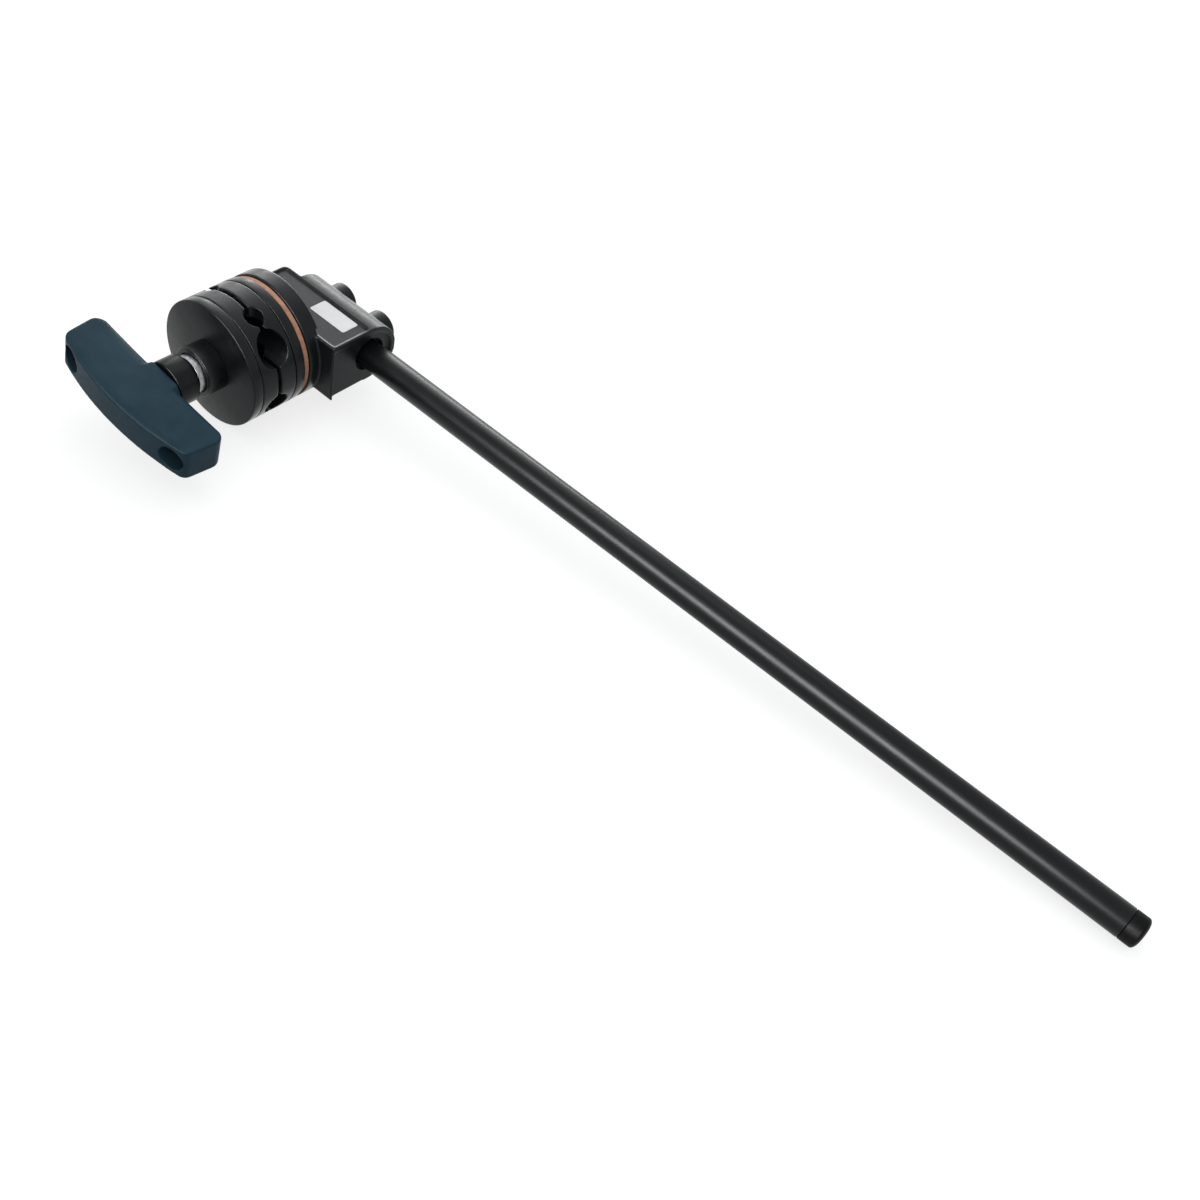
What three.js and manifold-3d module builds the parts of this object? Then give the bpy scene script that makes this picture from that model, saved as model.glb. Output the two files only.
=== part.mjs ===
// Grip arm: a steel rod in a cast head block, with a two-jaw grip head that a T-handle closes.
// Millimetres, +Z up. The head axis runs along Y and the T-handle points to -Y.
// The arm lies as on a table: the round head and the free end of the rod touch the surface.

import * as THREE from "three";
import { mergeVertices } from "three/addons/utils/BufferGeometryUtils.js";
import Module from "manifold-3d";

const wasm = await Module();
wasm.setup();

// Driving dimensions: the whole arm
const headDiameter = 63.5;
const rodDiameter = 14.3;
const rodWall = 1.6;
const rodReach = 468;
const plugLength = 7.7;
const plugSpigotLength = 14;
const plugEdge = 1;
const seatGap = 0.3;
const overrun = 2;

// Casting that joins the rod to the head
const blockHeight = 32;
const blockReach = 25.7;
const blockEnd = 40.5;
const blockTail = 22;
const tailRadius = 3;
const barrelTail = 11;
const barrelRound = 9;
const flangeStep = 5.9;
const flangeThickness = 9;
const rimChamfer = 0.7;
const endLipDepth = 1.6;
const endLipWall = 2.8;
const endLipDrop = 8;
const endEdgeWall = 1;
const socketRelief = 2;
const socketReliefDepth = 3;
const panelBorder = 1.7;
const panelDepth = 1;
const bossDiameter = 17;
const bossReach = 20.8;
const bossChamfer = 0.9;
const bossSpacing = 27;
const socketWall = 3.5;

// Centre bolt and the screw that holds the rod
const boltDiameter = 9.5;
const boltLength = 117.8;
const boltTipChamfer = 1;
const boltHeadAcross = 12.7;
const boltHeadHeight = 6;
const boltHeadSink = 1;
const setScrewDiameter = 8;
const setScrewSink = 1.2;
const setScrewPoint = 1.4;
const setScrewKey = 4;
const setScrewKeyDepth = 4.5;

// Discs of the head, from the casting towards the T-handle
const frictionRingThickness = 2.7;
const frictionRingInset = 0.8;
const frictionRingBore = 26;
const rearPlateThickness = 5.1;
const jawThickness = 9;
const jawGap = 2;
const frontPlateThickness = 5.3;
const jointBevel = 0.35;

// Grooves across the jaws: bore, and how far each runs from the head axis
const wideBore = 16;
const wideOffset = 16.6;
const halfBore = 12.7;
const halfOffset = 13.6;
const slimBore = 9.5;
const slimOffset = 13.6;
const smallBore = 6.6;
const smallOffset = 15.6;

// Pins, screws and spring that tie the two jaws together
const dowelDiameter = 4.4;
const dowelEdge = 6.45;
const dowelSink = 1;
const dowelPlateDepth = 2;
const dowelHoleFloor = 1.3;
const dowelTipChamfer = 0.5;
const jawScrewDiameter = 3;
const jawScrewHead = 5.4;
const jawScrewHeadHeight = 2;
const jawScrewDepth = 3.2;
const jawScrewUpperEdge = 3.75;
const jawScrewLowerEdge = 5.55;
const jawScrewSlotWidth = 0.9;
const jawScrewSlotDepth = 0.8;
const springWire = 1.1;
const springClearance = 0.45;
const springSeatDepth = 6;
const springCurls = 5;

// Bearing collar and thrust washers
const collarDiameter = 24.8;
const collarLength = 9.6;
const collarWall = 2.2;
const collarFloor = 1.8;
const collarSpigot = 1.5;
const collarSpigotDiameter = 17;
const washerDiameter = 19;
const rearWasherThickness = 1.4;
const bearingThickness = 3.6;
const frontWasherThickness = 5.4;
const washerEdge = 0.5;

// T-handle, its ferrule and the nut moulded into it
const nutDiameter = 14.4;
const nutLength = 25;
const nutNose = 1.3;
const nutFlangeDiameter = 17;
const nutFlangeLength = 3;
const ferruleDiameter = 23;
const ferruleLength = 10.8;
const ferruleEdge = 0.8;
const hubDiameter = 25;
const hubFlareDiameter = 31;
const hubFlareReach = 9;
const handleLength = 89;
const handleHeight = 18;
const handleSetback = 1.8;
const handleEndDepth = 21;
const handleBulge = 6.4;
const handleCornerRadius = 3.2;
const handleEdgeRadius = 0.8;
const handleEndSlant = 1.4;
const handleWellDiameter = 12.6;
const handleWellDepth = 9;
const handleWellSpacing = 70;
const handleTurnFromRod = THREE.MathUtils.degToRad(8.5);
const nutTravelRoom = 3.6;

// Shares of the handle: each corner of its section by depth and by half height, in its middle and
// at its ends, then its ridge and its hub
const sectionShares = [
  [0, 0.78, 0.92],
  [0.07, 0.95, 1],
  [0.18, 1, 1],
  ["ridge", 1, 1],
  [0.9, 0.9, 0.99],
  [1, 0.74, 0.92],
];
const ridgeEndShare = 0.78;
const ridgeMiddleShare = 0.42;
const hubCurveShare = 0.33;
const bearingGrooveShare = 0.17;
const plugEdgeShares = [0.5, 1];
const endRoundShares = [0, 0.25, 0.5, 0.75, 1];
const hubTaperShares = [0.35, 0.7];
const hubTaperSinkShares = [0.55, 0.9];

// Facet counts, and the distance within which corners count as one
const discSides = 56;
const collarSides = 40;
const boreSides = 32;
const smallSides = 20;
const hexSides = 6;
const springSteps = 8;
const springSides = 5;
const handleStations = 16;
const flareSteps = 4;
const weldDistance = 0.0001;

// Places along the head axis, worked out from the rod towards the T-handle
const headRadius = headDiameter / 2;
const rodRadius = rodDiameter / 2;
const boltRadius = boltDiameter / 2;
const boltBore = boltRadius + seatGap;
const flangeFront = -(blockReach + flangeStep);
const flangeBack = flangeFront + flangeThickness;
const ringBack = flangeFront - seatGap;
const ringFront = ringBack - frictionRingThickness;
const rearPlateBack = ringFront - seatGap;
const rearPlateFront = rearPlateBack - rearPlateThickness;
const rearJawBack = rearPlateFront - seatGap;
const rearJawFront = rearJawBack - jawThickness;
const grooveCentre = rearJawFront - jawGap / 2;
const frontJawBack = rearJawFront - jawGap;
const frontJawFront = frontJawBack - jawThickness;
const frontPlateBack = frontJawFront - seatGap;
const frontPlateFront = frontPlateBack - frontPlateThickness;
const collarBack = frontPlateFront - seatGap;
const collarFront = collarBack - collarLength;
const rearWasherBack = collarBack - collarFloor - seatGap;
const bearingBack = rearWasherBack - rearWasherThickness - seatGap;
const frontWasherBack = bearingBack - bearingThickness - seatGap;
const frontWasherFront = frontWasherBack - frontWasherThickness;
const nutBack = frontWasherFront - seatGap;
const nutFront = nutBack - nutLength;
const ferruleBack = nutBack - nutNose;
const hubBack = ferruleBack - ferruleLength - seatGap;
const boltHeadBack = bossReach - boltHeadSink;
const boltHeadFront = boltHeadBack - boltHeadHeight;
const boltTip = boltHeadFront - boltLength;
const rodStart = boltBore + socketWall;

// Dowels and jaw screws stand in from the rim of the head
const dowelOffset = headRadius - dowelEdge;
const jawScrewUpper = headRadius - jawScrewUpperEdge;
const jawScrewLower = headRadius - jawScrewLowerEdge;

// The rod slopes down by this angle, so that the head and the plug both touch the table
const restPoint = rodReach + seatGap + plugLength - plugEdge;
const restTilt =
  Math.asin(headRadius / Math.hypot(restPoint, rodRadius)) - Math.atan2(rodRadius, restPoint);

// A closed solid from a geometry whose shared corners are merged
function solidOf(geometry) {
  const bare = new THREE.BufferGeometry();
  bare.setAttribute("position", geometry.getAttribute("position"));
  bare.setIndex(geometry.index);
  const merged = mergeVertices(bare, weldDistance);
  return new wasm.Manifold(
    new wasm.Mesh({
      numProp: 3,
      vertProperties: new Float32Array(merged.attributes.position.array),
      triVerts: new Uint32Array(merged.index.array),
    }),
  );
}

// The three.js geometry of a solid
function geometryOf(solid) {
  const mesh = solid.getMesh();
  const geometry = new THREE.BufferGeometry();
  geometry.setAttribute("position", new THREE.BufferAttribute(mesh.vertProperties, 3));
  geometry.setIndex(new THREE.BufferAttribute(mesh.triVerts, 1));
  const flat = geometry.toNonIndexed();
  flat.computeVertexNormals();
  return flat;
}

// A profile of [radius, y] pairs turned round the head axis
function turned(profile, sides = discSides) {
  const points = profile.map(([radius, y]) => new THREE.Vector2(radius, y));
  return new THREE.LatheGeometry(points, sides);
}

// A solid disc or drum on the head axis, from the lower y to the higher, with its rims bevelled
function drum(radius, low, high, bevel = 0, sides = discSides) {
  return turned(
    [
      [0, low],
      [radius - bevel, low],
      [radius, low + bevel],
      [radius, high - bevel],
      [radius - bevel, high],
      [0, high],
    ],
    sides,
  );
}

// A straight hole or peg along the head axis, centred at x, z
function peg(diameter, low, high, x, z, sides = smallSides) {
  return drum(diameter / 2, low, high, 0, sides).translate(x, 0, z);
}

// A flat outline in X and Y, raised along Z between two heights
function raised(outline, low, high) {
  const settings = { depth: high - low, bevelEnabled: false, curveSegments: smallSides / 2 };
  return new THREE.ExtrudeGeometry(outline, settings).translate(0, 0, low);
}

// A flat outline in Y and Z, drawn as its own x and y, that runs along X between two places
function runAlongX(outline, low, high) {
  const geometry = raised(outline, low, high);
  const axes = new THREE.Matrix4().makeBasis(
    new THREE.Vector3(0, 1, 0),
    new THREE.Vector3(0, 0, 1),
    new THREE.Vector3(1, 0, 0),
  );
  return geometry.applyMatrix4(axes);
}

// A hexagonal bar along Y, by its width across flats
function hexBar(across, low, high) {
  return drum(across / 2 / Math.cos(Math.PI / hexSides), low, high, 0, hexSides);
}

// The outline of the block seen from above: the tail stops at the rod axis, and the round barrel
// behind it starts nearer to the head axis with a rounded end
function blockPlan() {
  const back = blockHeight / 2;
  const outline = new THREE.Shape();
  outline.moveTo(-blockTail, -blockReach);
  outline.lineTo(blockEnd, -blockReach);
  outline.lineTo(blockEnd, back);
  outline.absarc(barrelRound - barrelTail, back - barrelRound, barrelRound, Math.PI / 2, Math.PI, false);
  outline.lineTo(-barrelTail, 0);
  outline.absarc(tailRadius - blockTail, -tailRadius, tailRadius, Math.PI / 2, Math.PI, false);
  outline.closePath();
  return outline;
}

// The section of the block across the rod: flat above and below, round behind the rod
function blockSection() {
  const half = blockHeight / 2;
  const outline = new THREE.Shape();
  outline.moveTo(-blockReach, -half);
  outline.lineTo(0, -half);
  outline.absarc(0, 0, half, -Math.PI / 2, Math.PI / 2, false);
  outline.lineTo(-blockReach, half);
  outline.closePath();
  return outline;
}

// The sunk part of the end face: a lip stays above it and round the rod, down to just below its axis
function endRecess() {
  const half = blockHeight / 2;
  const inner = half - endLipWall;
  const outline = new THREE.Shape();
  outline.moveTo(endEdgeWall - blockReach, -half - overrun);
  outline.lineTo(half + overrun, -half - overrun);
  outline.lineTo(half + overrun, -endLipDrop);
  outline.absarc(0, 0, inner, -Math.asin(endLipDrop / inner), Math.PI / 2, false);
  outline.lineTo(endEdgeWall - blockReach, inner);
  outline.closePath();
  return outline;
}

// The shallow panel in the top or bottom face, inside a raised border
function panelRecess() {
  const left = panelBorder - blockTail;
  const right = blockEnd - panelBorder;
  const front = panelBorder - blockReach;
  const back = -panelBorder;
  const corner = panelBorder;
  const outline = new THREE.Shape();
  outline.moveTo(left, front);
  outline.lineTo(right - corner, front);
  outline.absarc(right - corner, front + corner, corner, -Math.PI / 2, 0, false);
  outline.absarc(right - corner, back - corner, corner, 0, Math.PI / 2, false);
  outline.absarc(left + corner, back - corner, corner, Math.PI / 2, Math.PI, false);
  outline.closePath();
  return outline;
}

// A boss on the round back of the block, with its rim bevelled
function boss(x) {
  return drum(bossDiameter / 2, 0, bossReach, bossChamfer, boreSides).translate(x, 0, 0);
}

// The casting: round flange, block with its rod socket, two bosses and the sunk panels
function makeCasting() {
  const half = blockHeight / 2;
  const flange = drum(headRadius, flangeFront, flangeBack, rimChamfer);
  const plan = solidOf(raised(blockPlan(), -half, half));
  const section = solidOf(runAlongX(blockSection(), -blockTail - overrun, blockEnd + overrun));
  let casting = plan.intersect(section);
  for (const height of [half - panelDepth, -half - overrun])
    casting = casting.subtract(
      solidOf(raised(panelRecess(), height, height + panelDepth + overrun)),
    );
  casting = casting.subtract(
    solidOf(runAlongX(endRecess(), blockEnd - endLipDepth, blockEnd + overrun)),
  );
  casting = casting.add(solidOf(flange)).add(solidOf(boss(0))).add(solidOf(boss(bossSpacing)));
  const boltHole = drum(boltBore, flangeFront - overrun, bossReach, 0, boreSides);
  const boltPocket = hexBar(boltHeadAcross + 2 * seatGap, boltHeadFront - seatGap, bossReach + overrun);
  const socket = rodBody(rodRadius + seatGap, rodStart - seatGap, blockEnd + overrun);
  const relief = rodBody(
    rodRadius + socketRelief,
    blockEnd - endLipDepth - socketReliefDepth,
    blockEnd + overrun,
  );
  const screwHole = peg(setScrewDiameter + 2 * seatGap, 0, bossReach + overrun, bossSpacing, 0);
  for (const cutter of [boltHole, boltPocket, socket, relief, screwHole])
    casting = casting.subtract(solidOf(cutter));
  return geometryOf(casting);
}

// A plain round bar on the rod axis, along X
function rodBody(radius, start, end, sides = boreSides) {
  return drum(radius, start, end, 0, sides).rotateZ(-Math.PI / 2);
}

// The rod: a steel tube, open at both ends
function makeRod() {
  const bore = rodRadius - rodWall;
  const profile = [
    [bore, rodStart],
    [rodRadius, rodStart],
    [rodRadius, rodReach],
    [bore, rodReach],
    [bore, rodStart],
  ];
  return turned(profile, boreSides).rotateZ(-Math.PI / 2);
}

// The plug that closes the free end of the rod: a rounded cap on a spigot
function makeRodPlug() {
  const spigot = rodRadius - rodWall - seatGap;
  const cap = rodReach + seatGap;
  const profile = [
    [0, rodReach - plugSpigotLength],
    [spigot - plugEdge, rodReach - plugSpigotLength],
    [spigot, rodReach - plugSpigotLength + plugEdge],
    [spigot, cap],
    [rodRadius, cap],
    [rodRadius, cap + plugLength - plugEdge],
  ];
  for (const share of plugEdgeShares) {
    const turn = (share * Math.PI) / 2;
    profile.push([
      rodRadius - plugEdge * (1 - Math.cos(turn)),
      cap + plugLength - plugEdge * (1 - Math.sin(turn)),
    ]);
  }
  profile.push([0, cap + plugLength]);
  return turned(profile, boreSides).rotateZ(-Math.PI / 2);
}

// The centre bolt: hexagon head held in the rear boss, shank through both jaws into the nut
function makeBolt() {
  const shank = drum(boltRadius, boltTip, boltHeadBack - boltHeadHeight / 2, boltTipChamfer, boreSides);
  const head = hexBar(boltHeadAcross, boltHeadFront, boltHeadBack);
  return geometryOf(solidOf(shank).add(solidOf(head)));
}

// The set screw that bears on the rod: cone point and hexagon key hole
function makeSetScrew() {
  const point = rodRadius + seatGap;
  const radius = setScrewDiameter / 2;
  const back = bossReach - setScrewSink;
  const body = turned(
    [
      [0, point],
      [radius - setScrewPoint, point],
      [radius, point + setScrewPoint],
      [radius, back],
      [0, back],
    ],
    smallSides,
  );
  const key = hexBar(setScrewKey, back - setScrewKeyDepth, back + overrun);
  return geometryOf(solidOf(body).subtract(solidOf(key)).translate([bossSpacing, 0, 0]));
}

// A flat ring on the head axis, bevelled at its outer rims
function flatRing(bore, outer, low, high, bevel, sides = discSides) {
  return turned(
    [
      [bore, low],
      [outer - bevel, low],
      [outer, low + bevel],
      [outer, high - bevel],
      [outer - bevel, high],
      [bore, high],
      [bore, low],
    ],
    sides,
  );
}

// The friction ring between the casting and the head
function makeFrictionRing() {
  return flatRing(
    frictionRingBore / 2,
    headRadius - frictionRingInset,
    ringFront,
    ringBack,
    jointBevel,
  );
}

// The four grooves that both jaws share: two along X, two along Z, crossing round the bolt
function grooveCutters() {
  const length = headDiameter + 2 * overrun;
  const alongX = (bore, z) =>
    drum(bore / 2, -length / 2, length / 2, 0, boreSides)
      .rotateZ(-Math.PI / 2)
      .translate(0, grooveCentre, z);
  const alongZ = (bore, x) =>
    drum(bore / 2, -length / 2, length / 2, 0, boreSides)
      .rotateX(Math.PI / 2)
      .translate(x, grooveCentre, 0);
  return [
    alongX(wideBore, wideOffset),
    alongX(halfBore, -halfOffset),
    alongZ(slimBore, slimOffset),
    alongZ(smallBore, -smallOffset),
  ];
}

// Half thickness of the spring's wire, and the radius of its centre line round the bolt
const springWireRadius = springWire / 2;
const springRadius = boltRadius + springClearance + springWireRadius;

// A jaw: a disc with the shared grooves, the spring seat, and holes for the dowels and screws
function makeJaw(low, high, face, inward) {
  const seatRadius = springRadius + springWireRadius + seatGap;
  const seatEnd = face + inward * springSeatDepth;
  const screwFloor = face + inward * (jawScrewHeadHeight + seatGap);
  const cutters = [
    ...grooveCutters(),
    drum(boltBore, low - overrun, high + overrun, 0, boreSides),
    drum(seatRadius, ...ordered(face - inward * overrun, seatEnd), 0, boreSides),
  ];
  for (const side of [-1, 1])
    cutters.push(peg(dowelDiameter + 2 * seatGap, low - overrun, high + overrun, side * dowelOffset, 0));
  for (const z of [jawScrewUpper, -jawScrewLower]) {
    cutters.push(peg(jawScrewDiameter + 2 * seatGap, low - overrun, high + overrun, 0, z));
    cutters.push(
      peg(jawScrewHead + 2 * seatGap, ...ordered(face - inward * overrun, screwFloor), 0, z),
    );
  }
  let jaw = solidOf(drum(headRadius, low, high, jointBevel));
  for (const cutter of cutters) jaw = jaw.subtract(solidOf(cutter));
  return geometryOf(jaw);
}

// Two places in rising order
function ordered(a, b) {
  return [Math.min(a, b), Math.max(a, b)];
}

// A backing plate behind a jaw: bolt hole, and blind holes for the dowels and screws
function makePlate(low, high, face, inward, dowelDepth, outerBevel) {
  const holes = [drum(boltBore, low - overrun, high + overrun, 0, boreSides)];
  for (const z of [jawScrewUpper, -jawScrewLower])
    holes.push(
      peg(
        jawScrewDiameter + 2 * seatGap,
        ...ordered(face - inward * overrun, face + inward * (jawScrewDepth + seatGap)),
        0,
        z,
      ),
    );
  if (dowelDepth > 0)
    for (const side of [-1, 1])
      holes.push(
        peg(
          dowelDiameter + 2 * seatGap,
          ...ordered(face - inward * overrun, face + inward * dowelDepth),
          side * dowelOffset,
          0,
        ),
      );
  const bevels = inward < 0 ? [outerBevel, jointBevel] : [jointBevel, outerBevel];
  const disc = turned([
    [0, low],
    [headRadius - bevels[0], low],
    [headRadius, low + bevels[0]],
    [headRadius, high - bevels[1]],
    [headRadius - bevels[1], high],
    [0, high],
  ]);
  let plate = solidOf(disc);
  for (const hole of holes) plate = plate.subtract(solidOf(hole));
  return plate;
}

// The rear backing plate turns on the friction ring
function makeRearPlate() {
  return geometryOf(makePlate(rearPlateFront, rearPlateBack, rearPlateFront, 1, 0, jointBevel));
}

// The front backing plate carries the bearing collar in a shallow round seat
function makeFrontPlate() {
  const dowelDepth = frontPlateThickness - dowelHoleFloor;
  const plate = makePlate(
    frontPlateFront,
    frontPlateBack,
    frontPlateBack,
    -1,
    dowelDepth,
    rimChamfer,
  );
  const seat = drum(
    collarSpigotDiameter / 2 + seatGap,
    frontPlateFront - overrun,
    frontPlateFront + collarSpigot,
    0,
    boreSides,
  );
  return geometryOf(plate.subtract(solidOf(seat)));
}

// A dowel, set in the rear jaw and sliding in the front one
function makeDowel(x) {
  const low = frontPlateBack - dowelPlateDepth;
  const high = rearJawBack - dowelSink;
  return drum(dowelDiameter / 2, low, high, dowelTipChamfer, smallSides).translate(x, 0, 0);
}

// A slotted cheese-head screw that ties a jaw to its backing plate
function makeJawScrew(face, plateFace, inward, z) {
  const top = face + inward * seatGap;
  const under = top + inward * jawScrewHeadHeight;
  const tip = plateFace + inward * jawScrewDepth;
  const head = peg(jawScrewHead, ...ordered(top, under), 0, z);
  const shank = peg(jawScrewDiameter, ...ordered(under - inward * jawScrewHeadHeight / 2, tip), 0, z);
  const slotDepth = jawScrewSlotDepth + overrun;
  const slot = new THREE.BoxGeometry(jawScrewHead + overrun, slotDepth, jawScrewSlotWidth);
  slot.translate(0, top + inward * (jawScrewSlotDepth - slotDepth / 2), z);
  return geometryOf(solidOf(head).add(solidOf(shank)).subtract(solidOf(slot)));
}

// The centre line of the spring that parts the jaws, as points at equal turns
function springPath() {
  const start = frontJawBack - springSeatDepth + seatGap + springWireRadius;
  const end = rearJawFront + springSeatDepth - seatGap - springWireRadius;
  const steps = springCurls * springSteps;
  const points = [];
  for (let step = 0; step <= steps; step++) {
    const turn = (2 * Math.PI * step) / springSteps;
    const y = start + ((end - start) * step) / steps;
    points.push(
      new THREE.Vector3(springRadius * Math.cos(turn), y, springRadius * Math.sin(turn)),
    );
  }
  return points;
}

// The least clear space between two curls of the spring
function springLeastGap(points) {
  let least = Infinity;
  for (let i = 0; i < points.length; i++)
    for (let j = i + springSteps / 2; j < points.length; j++)
      least = Math.min(least, points[i].distanceTo(points[j]));
  return least - springWire;
}

// The coil spring round the bolt: rings of the wire's section joined along the curl, ends closed
function makeSpring() {
  const path = springPath();
  console.log("jaw_spring least gap to itself, mm: " + springLeastGap(path).toFixed(2));
  const rings = path.map((centre, step) => {
    const out = new THREE.Vector3(centre.x, 0, centre.z).normalize();
    const before = path[Math.max(step - 1, 0)];
    const after = path[Math.min(step + 1, path.length - 1)];
    const along = after.clone().sub(before).normalize();
    const up = new THREE.Vector3().crossVectors(along, out).normalize();
    return ringRound(centre, out, up, springWireRadius);
  });
  return loft(rings);
}

// Points round a circle in the plane of two directions
function ringRound(centre, first, second, radius) {
  const ring = [];
  for (let side = 0; side < springSides; side++) {
    const turn = (2 * Math.PI * side) / springSides;
    ring.push(
      centre
        .clone()
        .addScaledVector(first, radius * Math.cos(turn))
        .addScaledVector(second, radius * Math.sin(turn)),
    );
  }
  return ring;
}

// A skin over rings of points with equal counts, closed by a fan at each end
function loft(rings) {
  const count = rings[0].length;
  const positions = rings.flat().flatMap((point) => [point.x, point.y, point.z]);
  const index = [];
  for (let ring = 0; ring < rings.length - 1; ring++)
    for (let side = 0; side < count; side++) {
      const a = ring * count + side;
      const b = ring * count + ((side + 1) % count);
      index.push(a, b, b + count, a, b + count, a + count);
    }
  const last = (rings.length - 1) * count;
  for (let side = 1; side < count - 1; side++) {
    index.push(0, side + 1, side);
    index.push(last, last + side, last + side + 1);
  }
  const geometry = new THREE.BufferGeometry();
  geometry.setAttribute("position", new THREE.Float32BufferAttribute(positions, 3));
  geometry.setIndex(index);
  return geometry;
}

// The collar on the front plate: a cup that holds the thrust bearing
function makeCollar() {
  const outer = collarDiameter / 2;
  const spigot = collarSpigotDiameter / 2;
  const cup = washerDiameter / 2 + seatGap;
  const hole = boltBore;
  const spigotBack = collarBack + collarSpigot;
  const edge = Math.min(washerEdge, collarWall / 2);
  return turned(
    [
      [hole, collarBack - collarFloor],
      [cup, collarBack - collarFloor],
      [cup, collarFront + edge],
      [cup + edge, collarFront],
      [outer - edge, collarFront],
      [outer, collarFront + edge],
      [outer, collarBack],
      [spigot, collarBack],
      [spigot, spigotBack],
      [hole, spigotBack],
      [hole, collarBack - collarFloor],
    ],
    collarSides,
  );
}

// A thrust washer or bearing race
function makeWasher(back, thickness, bevel) {
  return flatRing(boltBore, washerDiameter / 2, back - thickness, back, bevel, collarSides);
}

// The cage of the thrust bearing, narrower than its washers and grooved round its rim
function makeBearing() {
  const inner = boltBore + seatGap;
  const outer = washerDiameter / 2 - seatGap;
  const low = bearingBack - bearingThickness;
  const middle = bearingBack - bearingThickness / 2;
  const rim = bearingThickness * bearingGrooveShare;
  return turned(
    [
      [inner, low],
      [outer, low],
      [outer, middle - rim],
      [outer - rim, middle],
      [outer, middle + rim],
      [outer, bearingBack],
      [inner, bearingBack],
      [inner, low],
    ],
    collarSides,
  );
}

// The threaded nut inside the T-handle, with the flange that bears on the ferrule
function makeNut() {
  const flange = nutFlangeDiameter / 2;
  const nose = nutBack - nutNose - nutFlangeLength;
  return turned(
    [
      [boltBore, nutFront],
      [nutDiameter / 2, nutFront],
      [nutDiameter / 2, nose],
      [flange, nose],
      [flange, nutBack],
      [boltBore, nutBack],
      [boltBore, nutFront],
    ],
    boreSides,
  );
}

// The black ferrule between the bearing and the handle
function makeFerrule() {
  const outer = ferruleDiameter / 2;
  const front = ferruleBack - ferruleLength;
  const sleeve = flatRing(
    nutDiameter / 2 + seatGap,
    outer,
    front,
    ferruleBack,
    ferruleEdge,
    collarSides,
  );
  const pocket = drum(
    nutFlangeDiameter / 2 + seatGap,
    nutBack - nutNose - nutFlangeLength - seatGap,
    ferruleBack + overrun,
    0,
    boreSides,
  );
  return geometryOf(solidOf(sleeve).subtract(solidOf(pocket)));
}

// How far a rounded corner draws back at a distance from the end
function drawnBack(radius, fromEnd) {
  const left = Math.max(0, radius - fromEnd);
  return radius - Math.sqrt(radius * radius - left * left);
}

// One section of the handle's bar at a place along it: flat faces, a ridge above and below.
// Its outer side stays short of its inner side, so that the end faces slant
function handleSection(place) {
  const along = (2 * place) / handleLength;
  const spread = along * along;
  const fromEnd = handleLength / 2 - Math.abs(place);
  const inset = drawnBack(handleCornerRadius, fromEnd);
  const inner = hubBack - handleSetback - inset;
  const outerEnd = hubBack - handleSetback - handleEndDepth + inset;
  const outer = outerEnd - handleBulge * (1 - spread);
  const ridge = ridgeMiddleShare + (ridgeEndShare - ridgeMiddleShare) * Math.abs(along);
  const tall = handleHeight / 2 - drawnBack(handleEdgeRadius, fromEnd);
  const upper = sectionShares.map(([depth, middleHeight, endHeight]) => {
    const height = middleHeight + (endHeight - middleHeight) * spread;
    const share = depth === "ridge" ? ridge : depth;
    const x = place - handleEndSlant * along * share;
    return new THREE.Vector3(x, inner + (outer - inner) * share, tall * height);
  });
  const lower = upper.map((point) => new THREE.Vector3(point.x, point.y, -point.z)).reverse();
  return [...upper, ...lower];
}

// The T-handle: a lofted bar with a flared hub, bored for the nut, with a moulded well at each end
function makeHandle() {
  const half = handleLength / 2;
  const endPlaces = endRoundShares.map(
    (share) => half - handleCornerRadius * (1 - Math.cos((share * Math.PI) / 2)),
  );
  const rings = endPlaces.map((place) => handleSection(-place));
  for (let station = 1; station < handleStations; station++)
    rings.push(handleSection((half - handleCornerRadius) * ((2 * station) / handleStations - 1)));
  rings.push(...endPlaces.reverse().map((place) => handleSection(place)));
  const flareFront = hubBack - hubFlareReach;
  const boreFloor = nutFront - nutTravelRoom - Math.max(0, nutFront - boltTip);
  const hubFront = hubBack - handleSetback - handleEndDepth / 2;
  const hub = turned(
    [
      [0, hubFront],
      [handleHeight / 2, hubFront],
      [hubFlareDiameter / 2, flareFront],
      ...flareCurve(flareFront),
      [hubDiameter / 2, hubBack],
      [0, hubBack],
    ],
    discSides / 2,
  );
  const limit = new THREE.BoxGeometry(handleLength, 2 * handleLength, handleHeight);
  limit.translate(0, hubBack, 0);
  const flaredHub = solidOf(hub).intersect(solidOf(limit)).add(solidOf(neckOfHub()));
  let handle = solidOf(loft(rings)).add(flaredHub);
  handle = handle.subtract(
    solidOf(drum(nutDiameter / 2 + seatGap, nutFront - seatGap, hubBack + overrun, 0, boreSides)),
  );
  handle = handle.subtract(
    solidOf(drum(boltBore, boreFloor, hubBack + overrun, 0, boreSides)),
  );
  const wellFloor = hubBack - handleSetback - handleEndDepth - handleBulge + handleWellDepth;
  for (const side of [-1, 1])
    handle = handle.subtract(
      solidOf(
        peg(
          handleWellDiameter,
          wellFloor - handleWellDepth - overrun,
          wellFloor + handleBulge / 2,
          (side * handleWellSpacing) / 2,
          0,
        ),
      ),
    );
  return geometryOf(handle);
}

// The hollow curve by which the hub widens from the ferrule to the bar
function flareCurve(flareFront) {
  const curve = new THREE.QuadraticBezierCurve(
    new THREE.Vector2(hubFlareDiameter / 2, flareFront),
    new THREE.Vector2(hubDiameter / 2, flareFront + hubFlareReach * hubCurveShare),
    new THREE.Vector2(hubDiameter / 2, hubBack - ferruleEdge),
  );
  return curve
    .getPoints(flareSteps)
    .slice(1)
    .map((point) => [point.x, point.y]);
}

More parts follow.
